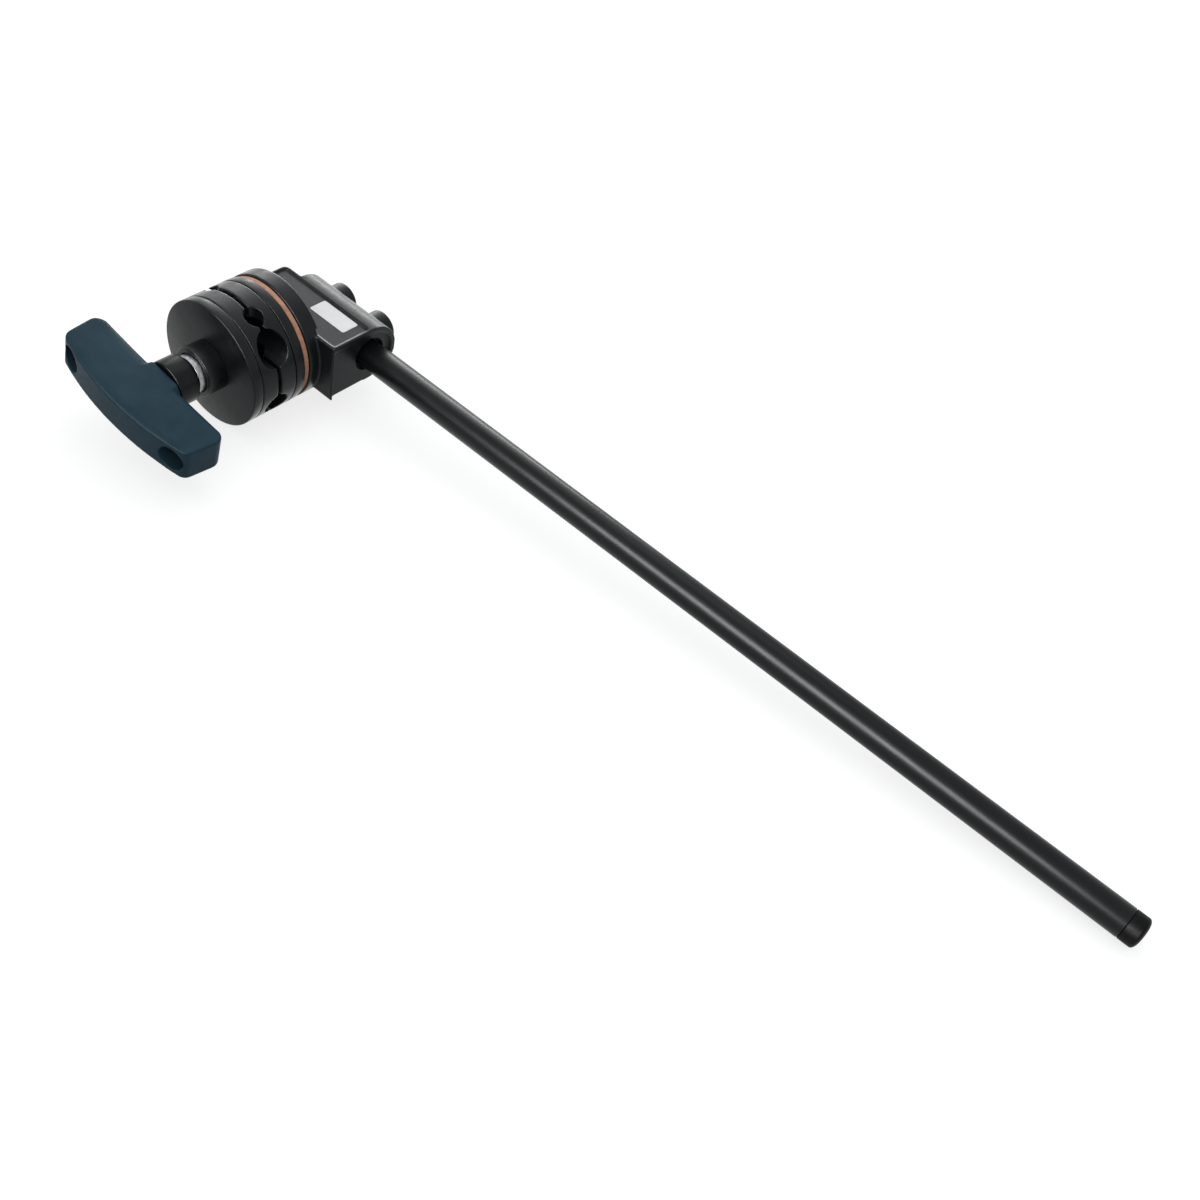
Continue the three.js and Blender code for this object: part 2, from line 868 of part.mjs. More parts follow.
// The full round of the hub where it meets the ferrule, sinking in a hollow curve to the bar's height
function neckOfHub() {
  const round = hubDiameter / 2;
  const sink = round - handleHeight / 2;
  const start = hubBack - handleSetback;
  const end = hubBack - hubFlareReach;
  const taper = hubTaperShares.map((share, step) => [
    round - sink * hubTaperSinkShares[step],
    start + (end - start) * share,
  ]);
  return turned(
    [
      [0, end],
      [handleHeight / 2, end],
      ...taper.reverse(),
      [round, start],
      [round, hubBack - ferruleEdge],
      [round - ferruleEdge, hubBack],
      [0, hubBack],
    ],
    discSides / 2,
  );
}

// A named mesh with its own finish
function part(name, geometry, color, roughness, metalness) {
  const material = new THREE.MeshStandardMaterial({ color, roughness, metalness });
  const mesh = new THREE.Mesh(geometry, material);
  mesh.name = name;
  return mesh;
}

const castBlack = [0x1d1f21, 0.5, 0.3];
const satinBlack = [0x191b1d, 0.38, 0.6];
const plasticBlack = [0x141516, 0.55, 0];
const handleBlue = [0x22343f, 0.48, 0];
const frictionOrange = [0xc4754f, 0.7, 0];
const brightSteel = [0xc4c8cc, 0.25, 1];
const darkSteel = [0x3a3c3f, 0.35, 1];

// The arm: what stays fixed to the rod
const arm = new THREE.Group();
arm.add(part("arm_casting", makeCasting(), ...castBlack));
arm.add(part("arm_rod", makeRod(), ...satinBlack));
arm.add(part("rod_end_plug", makeRodPlug(), ...plasticBlack));
arm.add(part("centre_bolt", makeBolt(), ...brightSteel));
arm.add(part("rod_set_screw", makeSetScrew(), ...darkSteel));
arm.add(part("friction_ring", makeFrictionRing(), ...frictionOrange));
arm.rotation.y = restTilt;

// The rear half of the head, which turns round the bolt
const rearHead = new THREE.Group();
rearHead.add(part("rear_plate", makeRearPlate(), ...castBlack));
rearHead.add(part("rear_jaw", makeJaw(rearJawFront, rearJawBack, rearJawFront, 1), ...castBlack));
rearHead.add(part("dowel_pin_left", makeDowel(-dowelOffset), ...brightSteel));
rearHead.add(part("dowel_pin_right", makeDowel(dowelOffset), ...brightSteel));
rearHead.add(part("jaw_spring", makeSpring(), ...brightSteel));

// The front half of the head, which slides on the dowels
const frontHead = new THREE.Group();
frontHead.add(part("front_jaw", makeJaw(frontJawFront, frontJawBack, frontJawBack, -1), ...castBlack));
frontHead.add(part("front_plate", makeFrontPlate(), ...castBlack));
frontHead.add(part("bearing_collar", makeCollar(), ...satinBlack));

const screwPlaces = [
  ["upper", jawScrewUpper],
  ["lower", -jawScrewLower],
];
for (const [place, z] of screwPlaces) {
  const rearScrew = makeJawScrew(rearJawFront, rearPlateFront, 1, z);
  const frontScrew = makeJawScrew(frontJawBack, frontPlateBack, -1, z);
  rearHead.add(part("rear_jaw_screw_" + place, rearScrew, ...darkSteel));
  frontHead.add(part("front_jaw_screw_" + place, frontScrew, ...darkSteel));
}

// The thrust stack, which moves in and out with the T-handle
const thrustStack = new THREE.Group();
const frontWasher = makeWasher(frontWasherBack, frontWasherThickness, washerEdge);
thrustStack.add(
  part("rear_thrust_washer", makeWasher(rearWasherBack, rearWasherThickness, 0), ...brightSteel),
);
thrustStack.add(part("thrust_bearing", makeBearing(), ...darkSteel));
thrustStack.add(part("front_thrust_washer", frontWasher, ...brightSteel));

// The T-handle, which turns on the bolt
const handle = new THREE.Group();
handle.add(part("t_handle", makeHandle(), ...handleBlue));
handle.add(part("handle_ferrule", makeFerrule(), ...plasticBlack));
handle.add(part("handle_nut", makeNut(), ...darkSteel));
handle.rotation.y = restTilt + handleTurnFromRod;

// The whole, with the middle of its footprint at the origin and the table at z = 0
const gripArm = new THREE.Group();
gripArm.add(arm, rearHead, frontHead, thrustStack, handle);
const reach = new THREE.Box3().setFromObject(gripArm, true);
gripArm.position.set(-(reach.min.x + reach.max.x) / 2, -(reach.min.y + reach.max.y) / 2, -reach.min.z);

export default gripArm;
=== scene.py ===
import math

import bmesh
import bpy
from mathutils import Matrix, Vector


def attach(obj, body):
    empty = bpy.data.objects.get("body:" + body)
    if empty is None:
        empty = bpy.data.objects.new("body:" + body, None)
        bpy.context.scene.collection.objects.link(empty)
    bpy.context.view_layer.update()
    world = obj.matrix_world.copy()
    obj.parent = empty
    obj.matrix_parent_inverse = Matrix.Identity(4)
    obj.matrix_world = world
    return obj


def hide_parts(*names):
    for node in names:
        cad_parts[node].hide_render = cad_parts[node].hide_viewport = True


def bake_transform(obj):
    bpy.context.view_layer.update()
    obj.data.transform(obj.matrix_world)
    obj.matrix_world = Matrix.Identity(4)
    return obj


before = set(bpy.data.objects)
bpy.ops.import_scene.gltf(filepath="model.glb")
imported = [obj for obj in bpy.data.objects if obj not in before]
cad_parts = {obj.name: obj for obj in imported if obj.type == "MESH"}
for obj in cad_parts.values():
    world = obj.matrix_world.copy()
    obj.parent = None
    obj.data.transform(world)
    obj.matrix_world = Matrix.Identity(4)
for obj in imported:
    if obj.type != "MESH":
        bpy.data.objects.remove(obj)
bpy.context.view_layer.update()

# The camera
# The arm is seen from above and from the T-handle's side, with the rod running down to the lower
# right of a square picture. Its place is in metres, its heading, tilt and roll are in degrees.
camera_spot = Vector((0.23157, -0.36183, 0.47133))
camera_heading, camera_tilt, camera_roll = 31.09253, 44.39277, 12.38598
camera_data = bpy.data.cameras.new("camera")
camera_data.sensor_width = 36
camera_data.lens = 43.379
camera_data.clip_start = 0.01
camera = bpy.data.objects.new("camera", camera_data)
camera.matrix_world = (
    Matrix.Translation(camera_spot)
    @ Matrix.Rotation(math.radians(camera_heading), 4, "Z")
    @ Matrix.Rotation(math.radians(camera_tilt), 4, "X")
    @ Matrix.Rotation(math.radians(camera_roll), 4, "Z")
)
bpy.context.scene.collection.objects.link(camera)
bpy.context.scene.camera = camera


# The casting
# One aluminium casting: a round flange that the head turns on, a block with the rod's socket,
# and two bosses for the centre bolt and the set screw. Tumbled, then coated semi-gloss black.
head_radius = 31.75
rod_slope = math.radians(2.9698062)
head_spot = Vector((-0.21526675, 0.0502, 0.03175))
# Shapes are drawn in millimetres, with x along the rod, y along the head axis towards the bosses
# and z up. One of these two places then turns them into metres.
head_place = Matrix.Translation(head_spot) @ Matrix.Scale(0.001, 4)
arm_place = head_place @ Matrix.Rotation(rod_slope, 4, "Y")


def moved(shape, x, y, z):
    """A shape at another place"""
    bmesh.ops.translate(shape, verts=shape.verts, vec=(x, y, z))
    return shape


def turned(shape, angle, axis):
    """A shape turned about one of the three axes"""
    turn = Matrix.Rotation(angle, 3, axis)
    bmesh.ops.rotate(shape, verts=shape.verts, cent=(0, 0, 0), matrix=turn)
    return shape


def spun(profile, steps=128, along_rod=False, ring=False):
    """A profile of (radius, place) pairs turned round the head axis, or round the rod"""
    shape = bmesh.new()
    points = [shape.verts.new((radius, place, 0)) for radius, place in profile]
    pairs = list(zip(points, points[1:]))
    if ring:
        pairs.append((points[-1], points[0]))
    lines = [shape.edges.new(pair) for pair in pairs]
    bmesh.ops.spin(
        shape, geom=points + lines, cent=(0, 0, 0), axis=(0, 1, 0), angle=2 * math.pi,
        steps=steps, use_merge=True,
    )
    bmesh.ops.remove_doubles(shape, verts=shape.verts, dist=0.0005)
    bmesh.ops.recalc_face_normals(shape, faces=shape.faces)
    return turned(shape, -math.pi / 2, "Z") if along_rod else shape


def bar(radius, low, high, x=0, z=0, steps=64, along_rod=False):
    """A plain round bar or hole, at x and z beside the head axis"""
    profile = [(0, low), (radius, low), (radius, high), (0, high)]
    return moved(spun(profile, steps, along_rod), x, 0, z)


def hexagon_bar(across, low, high):
    """A hexagonal bar or hole on the head axis, as wide as this across its flats"""
    shape = bmesh.new()
    corner_radius = across / 2 / math.cos(math.pi / 6)
    bmesh.ops.create_circle(shape, cap_ends=True, segments=6, radius=corner_radius)
    moved(turned(shape, math.pi / 2, "X"), 0, low, 0)
    grown = bmesh.ops.extrude_face_region(shape, geom=shape.faces[:])["geom"]
    far_corners = [part for part in grown if isinstance(part, bmesh.types.BMVert)]
    bmesh.ops.translate(shape, verts=far_corners, vec=(0, high - low, 0))
    bmesh.ops.recalc_face_normals(shape, faces=shape.faces)
    return shape


def block(low, high):
    """A square block between two corners"""
    shape = bmesh.new()
    bmesh.ops.create_cube(shape, size=1)
    low, high = Vector(low), Vector(high)
    bmesh.ops.scale(shape, verts=shape.verts, vec=high - low)
    return moved(shape, *(low + high) / 2)


def softened(shape, width, rows=3, where=None):
    """Rounds the sharp edges of a shape, or only those whose middle passes the test"""
    chosen = []
    for edge in shape.edges:
        middle = (edge.verts[0].co + edge.verts[1].co) / 2
        if not edge.is_manifold or edge.calc_face_angle() < math.radians(30):
            continue
        if where is None or where(edge, middle):
            chosen.append(edge)
    bmesh.ops.bevel(
        shape, geom=chosen, offset=width, offset_type="OFFSET", segments=rows, profile=0.5,
        affect="EDGES", material=-1, clamp_overlap=True,
    )
    return shape


def upright(x, y):
    """Picks the edge that stands upright at x and y"""
    def test(edge, middle):
        leans = (edge.verts[0].co - edge.verts[1].co).normalized()
        return abs(leans.z) > 0.99 and abs(middle.x - x) < touch and abs(middle.y - y) < touch
    return test


def loose(name, shape):
    """A shape as an object"""
    mesh = bpy.data.meshes.new(name)
    shape.to_mesh(mesh)
    shape.free()
    thing = bpy.data.objects.new(name, mesh)
    bpy.context.scene.collection.objects.link(thing)
    return thing


def cleared(thing):
    """Takes an object and its mesh away"""
    mesh = thing.data
    bpy.data.objects.remove(thing)
    bpy.data.meshes.remove(mesh)


def as_worked(blank):
    """The mesh of an object with its modifiers carried out; the object goes"""
    bpy.context.view_layer.update()
    worked = blank.evaluated_get(bpy.context.evaluated_depsgraph_get())
    shape = bmesh.new()
    shape.from_mesh(worked.to_mesh())
    worked.to_mesh_clear()
    cleared(blank)
    return shape


def machined(shape, joined=(), cut=(), kept=()):
    """A shape with others joined on, cut away, or as the only room it keeps"""
    blank = loose("blank", shape)
    tools = []
    for action, others in (("INTERSECT", kept), ("UNION", joined), ("DIFFERENCE", cut)):
        for other in others:
            tools.append(loose("tool", other))
            step = blank.modifiers.new("step", "BOOLEAN")
            step.operation = action
            step.solver = "EXACT"
            step.object = tools[-1]
    shape = as_worked(blank)
    for tool in tools:
        cleared(tool)
    return shape


def cast_skin(shape, grain, rounds):
    """An even skin over a shape, with its edges worn soft as on a casting"""
    blank = loose("blank", shape)
    skin = blank.modifiers.new("skin", "REMESH")
    skin.mode = "VOXEL"
    skin.voxel_size = grain
    skin.adaptivity = 0
    wear = blank.modifiers.new("wear", "SMOOTH")
    wear.factor = 0.5
    wear.iterations = rounds
    return as_worked(blank)


def made(name, shape, place, sharp=35):
    """The finished piece at its place, shaded smooth up to its sharp edges"""
    piece = loose(name, shape)
    piece.data.transform(place)
    piece.data.shade_smooth()
    piece.data.set_sharp_from_angle(angle=math.radians(sharp))
    return piece


def finish_nodes(name):
    """A new material: its node tree, its shader and the object's own coordinates"""
    material = bpy.data.materials.new(name)
    material.use_nodes = True
    tree = material.node_tree
    shader = tree.nodes["Principled BSDF"]
    coordinates = tree.nodes.new("ShaderNodeTexCoord").outputs["Object"]
    return material, tree, shader, coordinates


def speckle(tree, place, scale, detail=3, rough=0.55):
    """Cloudy noise over a place, as a value from 0 to 1"""
    noise = tree.nodes.new("ShaderNodeTexNoise")
    noise.inputs["Scale"].default_value = scale
    noise.inputs["Detail"].default_value = detail
    noise.inputs["Roughness"].default_value = rough
    tree.links.new(place, noise.inputs["Vector"])
    return noise.outputs["Fac"]


def spread(tree, value, low, high, to_low, to_high):
    """A value moved from one range to another, and held inside it"""
    change = tree.nodes.new("ShaderNodeMapRange")
    change.inputs["From Min"].default_value = low
    change.inputs["From Max"].default_value = high
    change.inputs["To Min"].default_value = to_low
    change.inputs["To Max"].default_value = to_high
    tree.links.new(value, change.inputs["Value"])
    return change.outputs["Result"]


def blended(tree, share, first, second):
    """One colour going over into another"""
    mix = tree.nodes.new("ShaderNodeMix")
    mix.data_type = "RGBA"
    tree.links.new(share, mix.inputs["Factor"])
    for socket, colour in ((mix.inputs[6], first), (mix.inputs[7], second)):
        if isinstance(colour, tuple):
            socket.default_value = (*colour, 1)
        else:
            tree.links.new(colour, socket)
    return mix.outputs[2]


def raised_by(tree, shader, height, strength, depth, under=None):
    """Gives the shader a fine relief from a height; its depth is in metres"""
    relief = tree.nodes.new("ShaderNodeBump")
    relief.inputs["Strength"].default_value = strength
    relief.inputs["Distance"].default_value = depth
    tree.links.new(height, relief.inputs["Height"])
    if under is not None:
        tree.links.new(under, relief.inputs["Normal"])
    tree.links.new(relief.outputs["Normal"], shader.inputs["Normal"])
    return relief.outputs["Normal"]


def edge_wear_and_sheen(tree, shade, width, share, edge_colour, low=0.02, high=0.22):
    """A colour going over into another along its edges, which are this many metres wide: wear, and on
    the black coat and the bearing collar partly a painted sheen along the edges
    """
    rounded = tree.nodes.new("ShaderNodeBevel")
    rounded.samples = 4
    rounded.inputs["Radius"].default_value = width
    ground = tree.nodes.new("ShaderNodeNewGeometry")
    agree = tree.nodes.new("ShaderNodeVectorMath")
    agree.operation = "DOT_PRODUCT"
    tree.links.new(rounded.outputs["Normal"], agree.inputs[0])
    tree.links.new(ground.outputs["Normal"], agree.inputs[1])
    edges = spread(tree, agree.outputs["Value"], 1 - low, 1 - high, 0, 1)
    part = tree.nodes.new("ShaderNodeMath")
    part.operation = "MULTIPLY"
    tree.links.new(edges, part.inputs[0])
    if isinstance(share, float):
        part.inputs[1].default_value = share
    else:
        tree.links.new(share, part.inputs[1])
    return blended(tree, part.outputs[0], shade, edge_colour)


def uneven_gloss(tree, shader, noise, at_low, at_high):
    """A roughness that wanders between two values with a noise"""
    tree.links.new(spread(tree, noise, 0.3, 0.7, at_low, at_high), shader.inputs["Roughness"])


def black_coat(name, grain):
    """Semi-gloss black over a casting: fine orange peel, duller patches, and edges that go greyer,
    partly real wear and partly a painted sheen
    """
    coat_dark, coat_light = (0.0057, 0.008075, 0.009025), (0.009025, 0.01235, 0.013775)
    coat_edge_wear_and_sheen = (0.16, 0.165, 0.175)
    coarse_grain = grain * 0.16
    material, tree, shader, place = finish_nodes(name)
    patches = spread(tree, speckle(tree, place, 70, 4), 0.35, 0.65, 0, 1)
    shade = blended(tree, patches, coat_dark, coat_light)
    # Greyer edges: partly real wear, partly a painted sheen where light catches the edges.
    edge_wear_and_sheen_share = spread(tree, speckle(tree, place, 420, 5, 0.7), 0.42, 0.62, 0.1, 0.28)
    shade = edge_wear_and_sheen(tree, shade, 0.0005, edge_wear_and_sheen_share, coat_edge_wear_and_sheen)
    tree.links.new(shade, shader.inputs["Base Color"])
    uneven_gloss(tree, shader, speckle(tree, place, 240, 4), 0.29, 0.4)
    shader.inputs["Specular IOR Level"].default_value = 0.14
    facing = tree.nodes.new("ShaderNodeLayerWeight")
    facing.inputs["Blend"].default_value = 0.5
    sheen = spread(tree, facing.outputs["Facing"], 0.53, 0.82, 0, 0.85)
    tree.links.new(sheen, shader.inputs["Coat Weight"])
    shader.inputs["Coat Roughness"].default_value = 0.3
    peel = raised_by(tree, shader, speckle(tree, place, grain, 3, 0.6), 0.4, 0.00006)
    raised_by(tree, shader, speckle(tree, place, coarse_grain, 2), 0.5, 0.00008, peel)
    return material


# Cutters run past what they cut, shapes that are joined overlap by the spare, and an edge counts
# as being at a place when it is this close.
overrun, spare, touch = 2, 1, 0.01
block_tail, block_end = -22, 40.5
block_front, block_half = -25.7, 16
tail_round, barrel_tail, barrel_round = 3, -11, 9
flange_front, flange_back, flange_chamfer = -31.6, -22.6, 0.7
panel_low, panel_high = (-20.3, -24.0), (38.8, -1.7)
panel_sunk, panel_corner = 1.0, 1.7
lip_floor, lip_inside, lip_side, lip_drop = 38.9, 13.2, -24.7, -8
boss_radius, boss_back, boss_chamfer, boss_places = 8.5, 20.8, 0.9, (0, 27)
bolt_hole, screw_hole = 5.05, 4.3
hex_pocket, pocket_floor, pocket_mouth = 13.3, 13.5, 23.5
socket_radius, socket_start = 7.45, 8.25
relief_radius, relief_start = 9.15, 35.9
casting_grain, casting_wear = 0.46, 3

casting_shape = softened(
    block((block_tail, block_front, -block_half), (block_end, 0, block_half)),
    tail_round, 6, upright(block_tail, 0),
)
barrel_edge = block_half + spare
barrel_room = softened(
    block((barrel_tail, -spare, -barrel_edge), (block_end, barrel_edge, barrel_edge)),
    barrel_round, 10, upright(barrel_tail, barrel_edge),
)
barrel = machined(
    bar(block_half, barrel_tail - spare, block_end, steps=160, along_rod=True), kept=[barrel_room],
)
flange = softened(bar(head_radius, flange_front, flange_back, steps=192), flange_chamfer)
bosses = []
for x in boss_places:
    boss = bar(boss_radius, 0, boss_back, x)
    bosses.append(softened(boss, boss_chamfer, 3, lambda edge, middle: middle.y > boss_back - touch))
panels = []
for side in (-1, 1):
    floor_height = side * (block_half - panel_sunk)
    low, high = sorted((floor_height, side * (block_half + overrun)))
    panel = block((*panel_low, low), (*panel_high, high))
    for corner in ((panel_low[0], panel_high[1]), panel_high, (panel_high[0], panel_low[1])):
        softened(panel, panel_corner, 5, upright(*corner))
    panels.append(panel)
lip_end, lip_under = block_end + overrun, -block_half - overrun
lip_room = machined(
    block((lip_floor, lip_side, lip_under), (lip_end, 0, lip_inside)),
    joined=[
        bar(lip_inside, lip_floor, lip_end, steps=96, along_rod=True),
        block((lip_floor, -spare, lip_under), (lip_end, block_half + overrun, lip_drop)),
    ],
)
casting_shape = machined(casting_shape, joined=[barrel, flange, *bosses], cut=[*panels, lip_room])
casting_shape = machined(
    cast_skin(casting_shape, casting_grain, casting_wear),
    cut=[
        hexagon_bar(hex_pocket, pocket_floor, pocket_mouth),
        bar(bolt_hole, flange_front - overrun, boss_back + overrun),
        bar(socket_radius, socket_start, block_end + overrun, along_rod=True),
        bar(relief_radius, relief_start, block_end + overrun, along_rod=True),
        bar(screw_hole, 0, boss_back + overrun, boss_places[1]),
    ],
)
casting = made("casting", casting_shape, arm_place, 50)
casting.data.materials.append(black_coat("casting_coat", 1500))
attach(casting, "arm")
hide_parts("arm_casting")


# The rod
# A steel tube, drawn and then coated satin black, pushed into the block's socket. Its ends are
# sawn square and lightly deburred.
rod_radius, rod_bore = 7.15, 5.55
rod_from, rod_to, rod_deburr = 8.55, 468, 0.25
rod_dark, rod_light, rod_scuffed = (0.003, 0.0045, 0.0052), (0.0048, 0.0066, 0.0076), (0.05, 0.052, 0.056)


def sleeve(bore, radius, low, high, steps, along_rod=False):
    """A plain tube, ring or washer"""
    profile = [(bore, low), (radius, low), (radius, high), (bore, high)]
    return spun(profile, steps, along_rod, ring=True)


rod_shape = softened(sleeve(rod_bore, rod_radius, rod_from, rod_to, 128, True), rod_deburr, 2)
rod = made("rod", rod_shape, arm_place)
rod_coat, tree, shader, place = finish_nodes("rod_coat")
along_the_rod = tree.nodes.new("ShaderNodeMapping")
along_the_rod.vector_type = "TEXTURE"
along_the_rod.inputs["Location"].default_value = head_spot
along_the_rod.inputs["Rotation"].default_value = (0, rod_slope, 0)
along_the_rod.inputs["Scale"].default_value = (12, 1, 1)
tree.links.new(place, along_the_rod.inputs["Vector"])
stretched = along_the_rod.outputs["Vector"]
drawn = speckle(tree, stretched, 900, 3)
clouds = spread(tree, speckle(tree, place, 45, 4), 0.35, 0.65, 0, 1)
shade = blended(tree, clouds, rod_dark, rod_light)
scuffs = spread(tree, speckle(tree, stretched, 330, 6, 0.72), 0.66, 0.74, 0, 0.22)
tree.links.new(blended(tree, scuffs, shade, rod_scuffed), shader.inputs["Base Color"])
uneven_gloss(tree, shader, drawn, 0.29, 0.37)
shader.inputs["Specular IOR Level"].default_value = 0.17
fine = raised_by(tree, shader, speckle(tree, place, 2600, 2), 0.25, 0.00003)
raised_by(tree, shader, drawn, 0.25, 0.00003, fine)
rod.data.materials.append(rod_coat)
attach(rod, "arm")
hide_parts("arm_rod")


# The plug in the free end of the rod
# A black plastic moulding: a cap as wide as the rod with a low dome, on a spigot that is pressed
# into the bore. A small gate mark is left in the middle of the dome.
cap_from, cap_to, cap_edge = 468.3, 476, 0.2
dome_height, dome_fullness, dome_steps = 2.2, 0.6, 16
spigot_radius, spigot_from, spigot_edge = 5.25, 454, 0.5
gate_radius, gate_depth, gate_slope = 1.1, 0.3, 0.2
plug_dark, plug_light, plug_rubbed = (0.0022, 0.0024, 0.0026), (0.0046, 0.0048, 0.005), (0.03, 0.03, 0.031)
plug_profile = [
    (0, spigot_from), (spigot_radius, spigot_from), (spigot_radius, cap_from), (rod_radius, cap_from),
]
for step in range(dome_steps):
    turn = math.pi / 2 * step / dome_steps
    dome_radius = rod_radius * math.cos(turn) ** dome_fullness
    plug_profile.append((dome_radius, cap_to - dome_height * (1 - math.sin(turn))))
gate_floor = cap_to - gate_depth
plug_profile += [(gate_radius, cap_to), (gate_radius - gate_slope, gate_floor), (0, gate_floor)]
plug_shape = spun(plug_profile, 112, True)
softened(plug_shape, spigot_edge, 2, lambda edge, middle: middle.x < spigot_from + touch)
softened(
    plug_shape, cap_edge, 2,
    lambda edge, middle: abs(middle.x - cap_from) < touch and middle.yz.length > rod_radius - touch,
)
plug = made("rod_plug", plug_shape, arm_place)
plug_plastic, tree, shader, place = finish_nodes("plug_plastic")
shade = blended(tree, speckle(tree, place, 160, 4), plug_dark, plug_light)
shade = edge_wear_and_sheen(tree, shade, 0.0004, 0.3, plug_rubbed)
tree.links.new(shade, shader.inputs["Base Color"])
shader.inputs["Specular IOR Level"].default_value = 0.08
uneven_gloss(tree, shader, speckle(tree, place, 500, 3), 0.4, 0.52)
raised_by(tree, shader, speckle(tree, place, 1900, 3), 0.3, 0.00005)
plug.data.materials.append(plug_plastic)
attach(plug, "arm")
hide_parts("rod_end_plug")


# The centre bolt
# The hexagon-headed steel bolt that everything on the head is threaded on. Its head sits in the
# rear boss and can't turn; its cut thread takes the nut of the T-handle. Zinc plated.
bolt_radius, bolt_tip, bolt_chamfer = 4.75, -104.0, 1
head_front, head_back, head_across = 13.8, 19.8, 12.7
head_bevel, crown_inset = 1.1, 0.35
thread_pitch, thread_depth, thread_rings = 1.5875, 0.62, 7
thread_from, thread_to = bolt_tip + 0.4, -66.5
bolt_silver = (0.62, 0.63, 0.65)


def threaded(shape, radius, depth, pitch, low, high):
    """Cuts a screw thread into a bar: each point of its skin sinks by where it is on the helix"""
    skin_share, flank = 0.97, 1.25
    for point in shape.verts:
        across, up = point.co.x, point.co.z
        reach = math.hypot(across, up)
        if reach < radius * skin_share or not low < point.co.y < high:
            continue
        turn = point.co.y / pitch - math.atan2(up, across) / (2 * math.pi)
        wave = abs(2 * (turn - math.floor(turn)) - 1)
        ease = min(1, (point.co.y - low) / pitch, (high - point.co.y) / pitch)
        lower = 1 - depth * ease * min(1, flank * wave) / reach
        point.co.x = across * lower
        point.co.z = up * lower


def rings_between(low, high, step):
    """Places from low to high, a step apart"""
    count = max(1, round((high - low) / step))
    return [low + (high - low) * share / count for share in range(count + 1)]


tip_back = bolt_tip + bolt_chamfer
bolt_profile = [(0, bolt_tip), (bolt_radius - bolt_chamfer, bolt_tip), (bolt_radius, tip_back)]
thread_places = rings_between(tip_back, thread_to, thread_pitch / thread_rings)[1:]
bolt_profile += [(bolt_radius, ring_place) for ring_place in thread_places]
bolt_profile += [(bolt_radius, head_front + spare), (0, head_front + spare)]
bolt_shape = spun(bolt_profile, 56)
threaded(bolt_shape, bolt_radius, thread_depth, thread_pitch, thread_from, thread_to)
head_limit = head_across / 2 / math.cos(math.pi / 6) + spare
head_room = spun([
    (0, head_front - spare), (head_limit, head_front - spare), (head_limit, head_back - head_bevel),
    (head_across / 2 - crown_inset, head_back), (0, head_back),
], 96)
bolt_head = machined(hexagon_bar(head_across, head_front, head_back), kept=[head_room])
bolt_shape = machined(bolt_shape, joined=[bolt_head])
bolt = made("centre_bolt_piece", bolt_shape, head_place, 25)


def bright_zinc(name, bright, dull=0, tool_rings=False):
    """Zinc plating on steel: a blotchy sheen, with fine tool rings where they show"""
    material, tree, shader, place = finish_nodes(name)
    patches = speckle(tree, place, 260, 4, 0.65)
    darker = tuple(part * 0.5 for part in bright)
    shade = blended(tree, spread(tree, patches, 0.36, 0.62, 0, 1), darker, bright)
    tree.links.new(shade, shader.inputs["Base Color"])
    shader.inputs["Metallic"].default_value = 1
    uneven_gloss(tree, shader, patches, 0.36 + dull, 0.24 + dull)
    if not tool_rings:
        raised_by(tree, shader, speckle(tree, place, 2400, 3), 0.3, 0.00003)
        return material
    centred = tree.nodes.new("ShaderNodeMapping")
    centred.inputs["Location"].default_value = (-head_spot.x, 0, -head_spot.z)
    tree.links.new(place, centred.inputs["Vector"])
    parts = tree.nodes.new("ShaderNodeSeparateXYZ")
    tree.links.new(centred.outputs["Vector"], parts.inputs["Vector"])
    flat = tree.nodes.new("ShaderNodeCombineXYZ")
    tree.links.new(parts.outputs["X"], flat.inputs["X"])
    tree.links.new(parts.outputs["Z"], flat.inputs["Y"])
    reach = tree.nodes.new("ShaderNodeVectorMath")
    reach.operation = "LENGTH"
    tree.links.new(flat.outputs["Vector"], reach.inputs[0])
    rings_at = tree.nodes.new("ShaderNodeCombineXYZ")
    tree.links.new(reach.outputs["Value"], rings_at.inputs["X"])
    tree.links.new(parts.outputs["Y"], rings_at.inputs["Y"])
    raised_by(tree, shader, speckle(tree, rings_at.outputs["Vector"], 5200, 2), 0.35, 0.00003)
    return material


bolt.data.materials.append(bright_zinc("bolt_zinc", bolt_silver))
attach(bolt, "arm")
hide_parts("centre_bolt")


# The set screw that holds the rod
# A short steel screw with a hexagon key hole and a cone point, screwed down through the second
# boss onto the rod. Black oxide, a little oily.
screw_radius, screw_cone, screw_top_edge = 4, 1.4, 0.5
screw_point, screw_back = 7.45, 19.6
screw_pitch, screw_depth, screw_rings = 1.25, 0.5, 6
screw_thread_from, screw_thread_to = screw_point + 1, screw_back - 0.4
key_across, key_depth = 4, 4.5
cone_top = screw_point + screw_cone
screw_profile = [(0, screw_point), (screw_radius - screw_cone, screw_point), (screw_radius, cone_top)]
screw_places = rings_between(cone_top, screw_back - screw_top_edge, screw_pitch / screw_rings)[1:]
screw_profile += [(screw_radius, ring_place) for ring_place in screw_places]
screw_profile += [(screw_radius - screw_top_edge, screw_back), (0, screw_back)]
screw_shape = spun(screw_profile, 48)
threaded(screw_shape, screw_radius, screw_depth, screw_pitch, screw_thread_from, screw_thread_to)
key_hole = hexagon_bar(key_across, screw_back - key_depth, screw_back + spare)
screw_shape = machined(screw_shape, cut=[key_hole])
set_screw = made("set_screw", screw_shape, arm_place @ Matrix.Translation((boss_places[1], 0, 0)), 25)


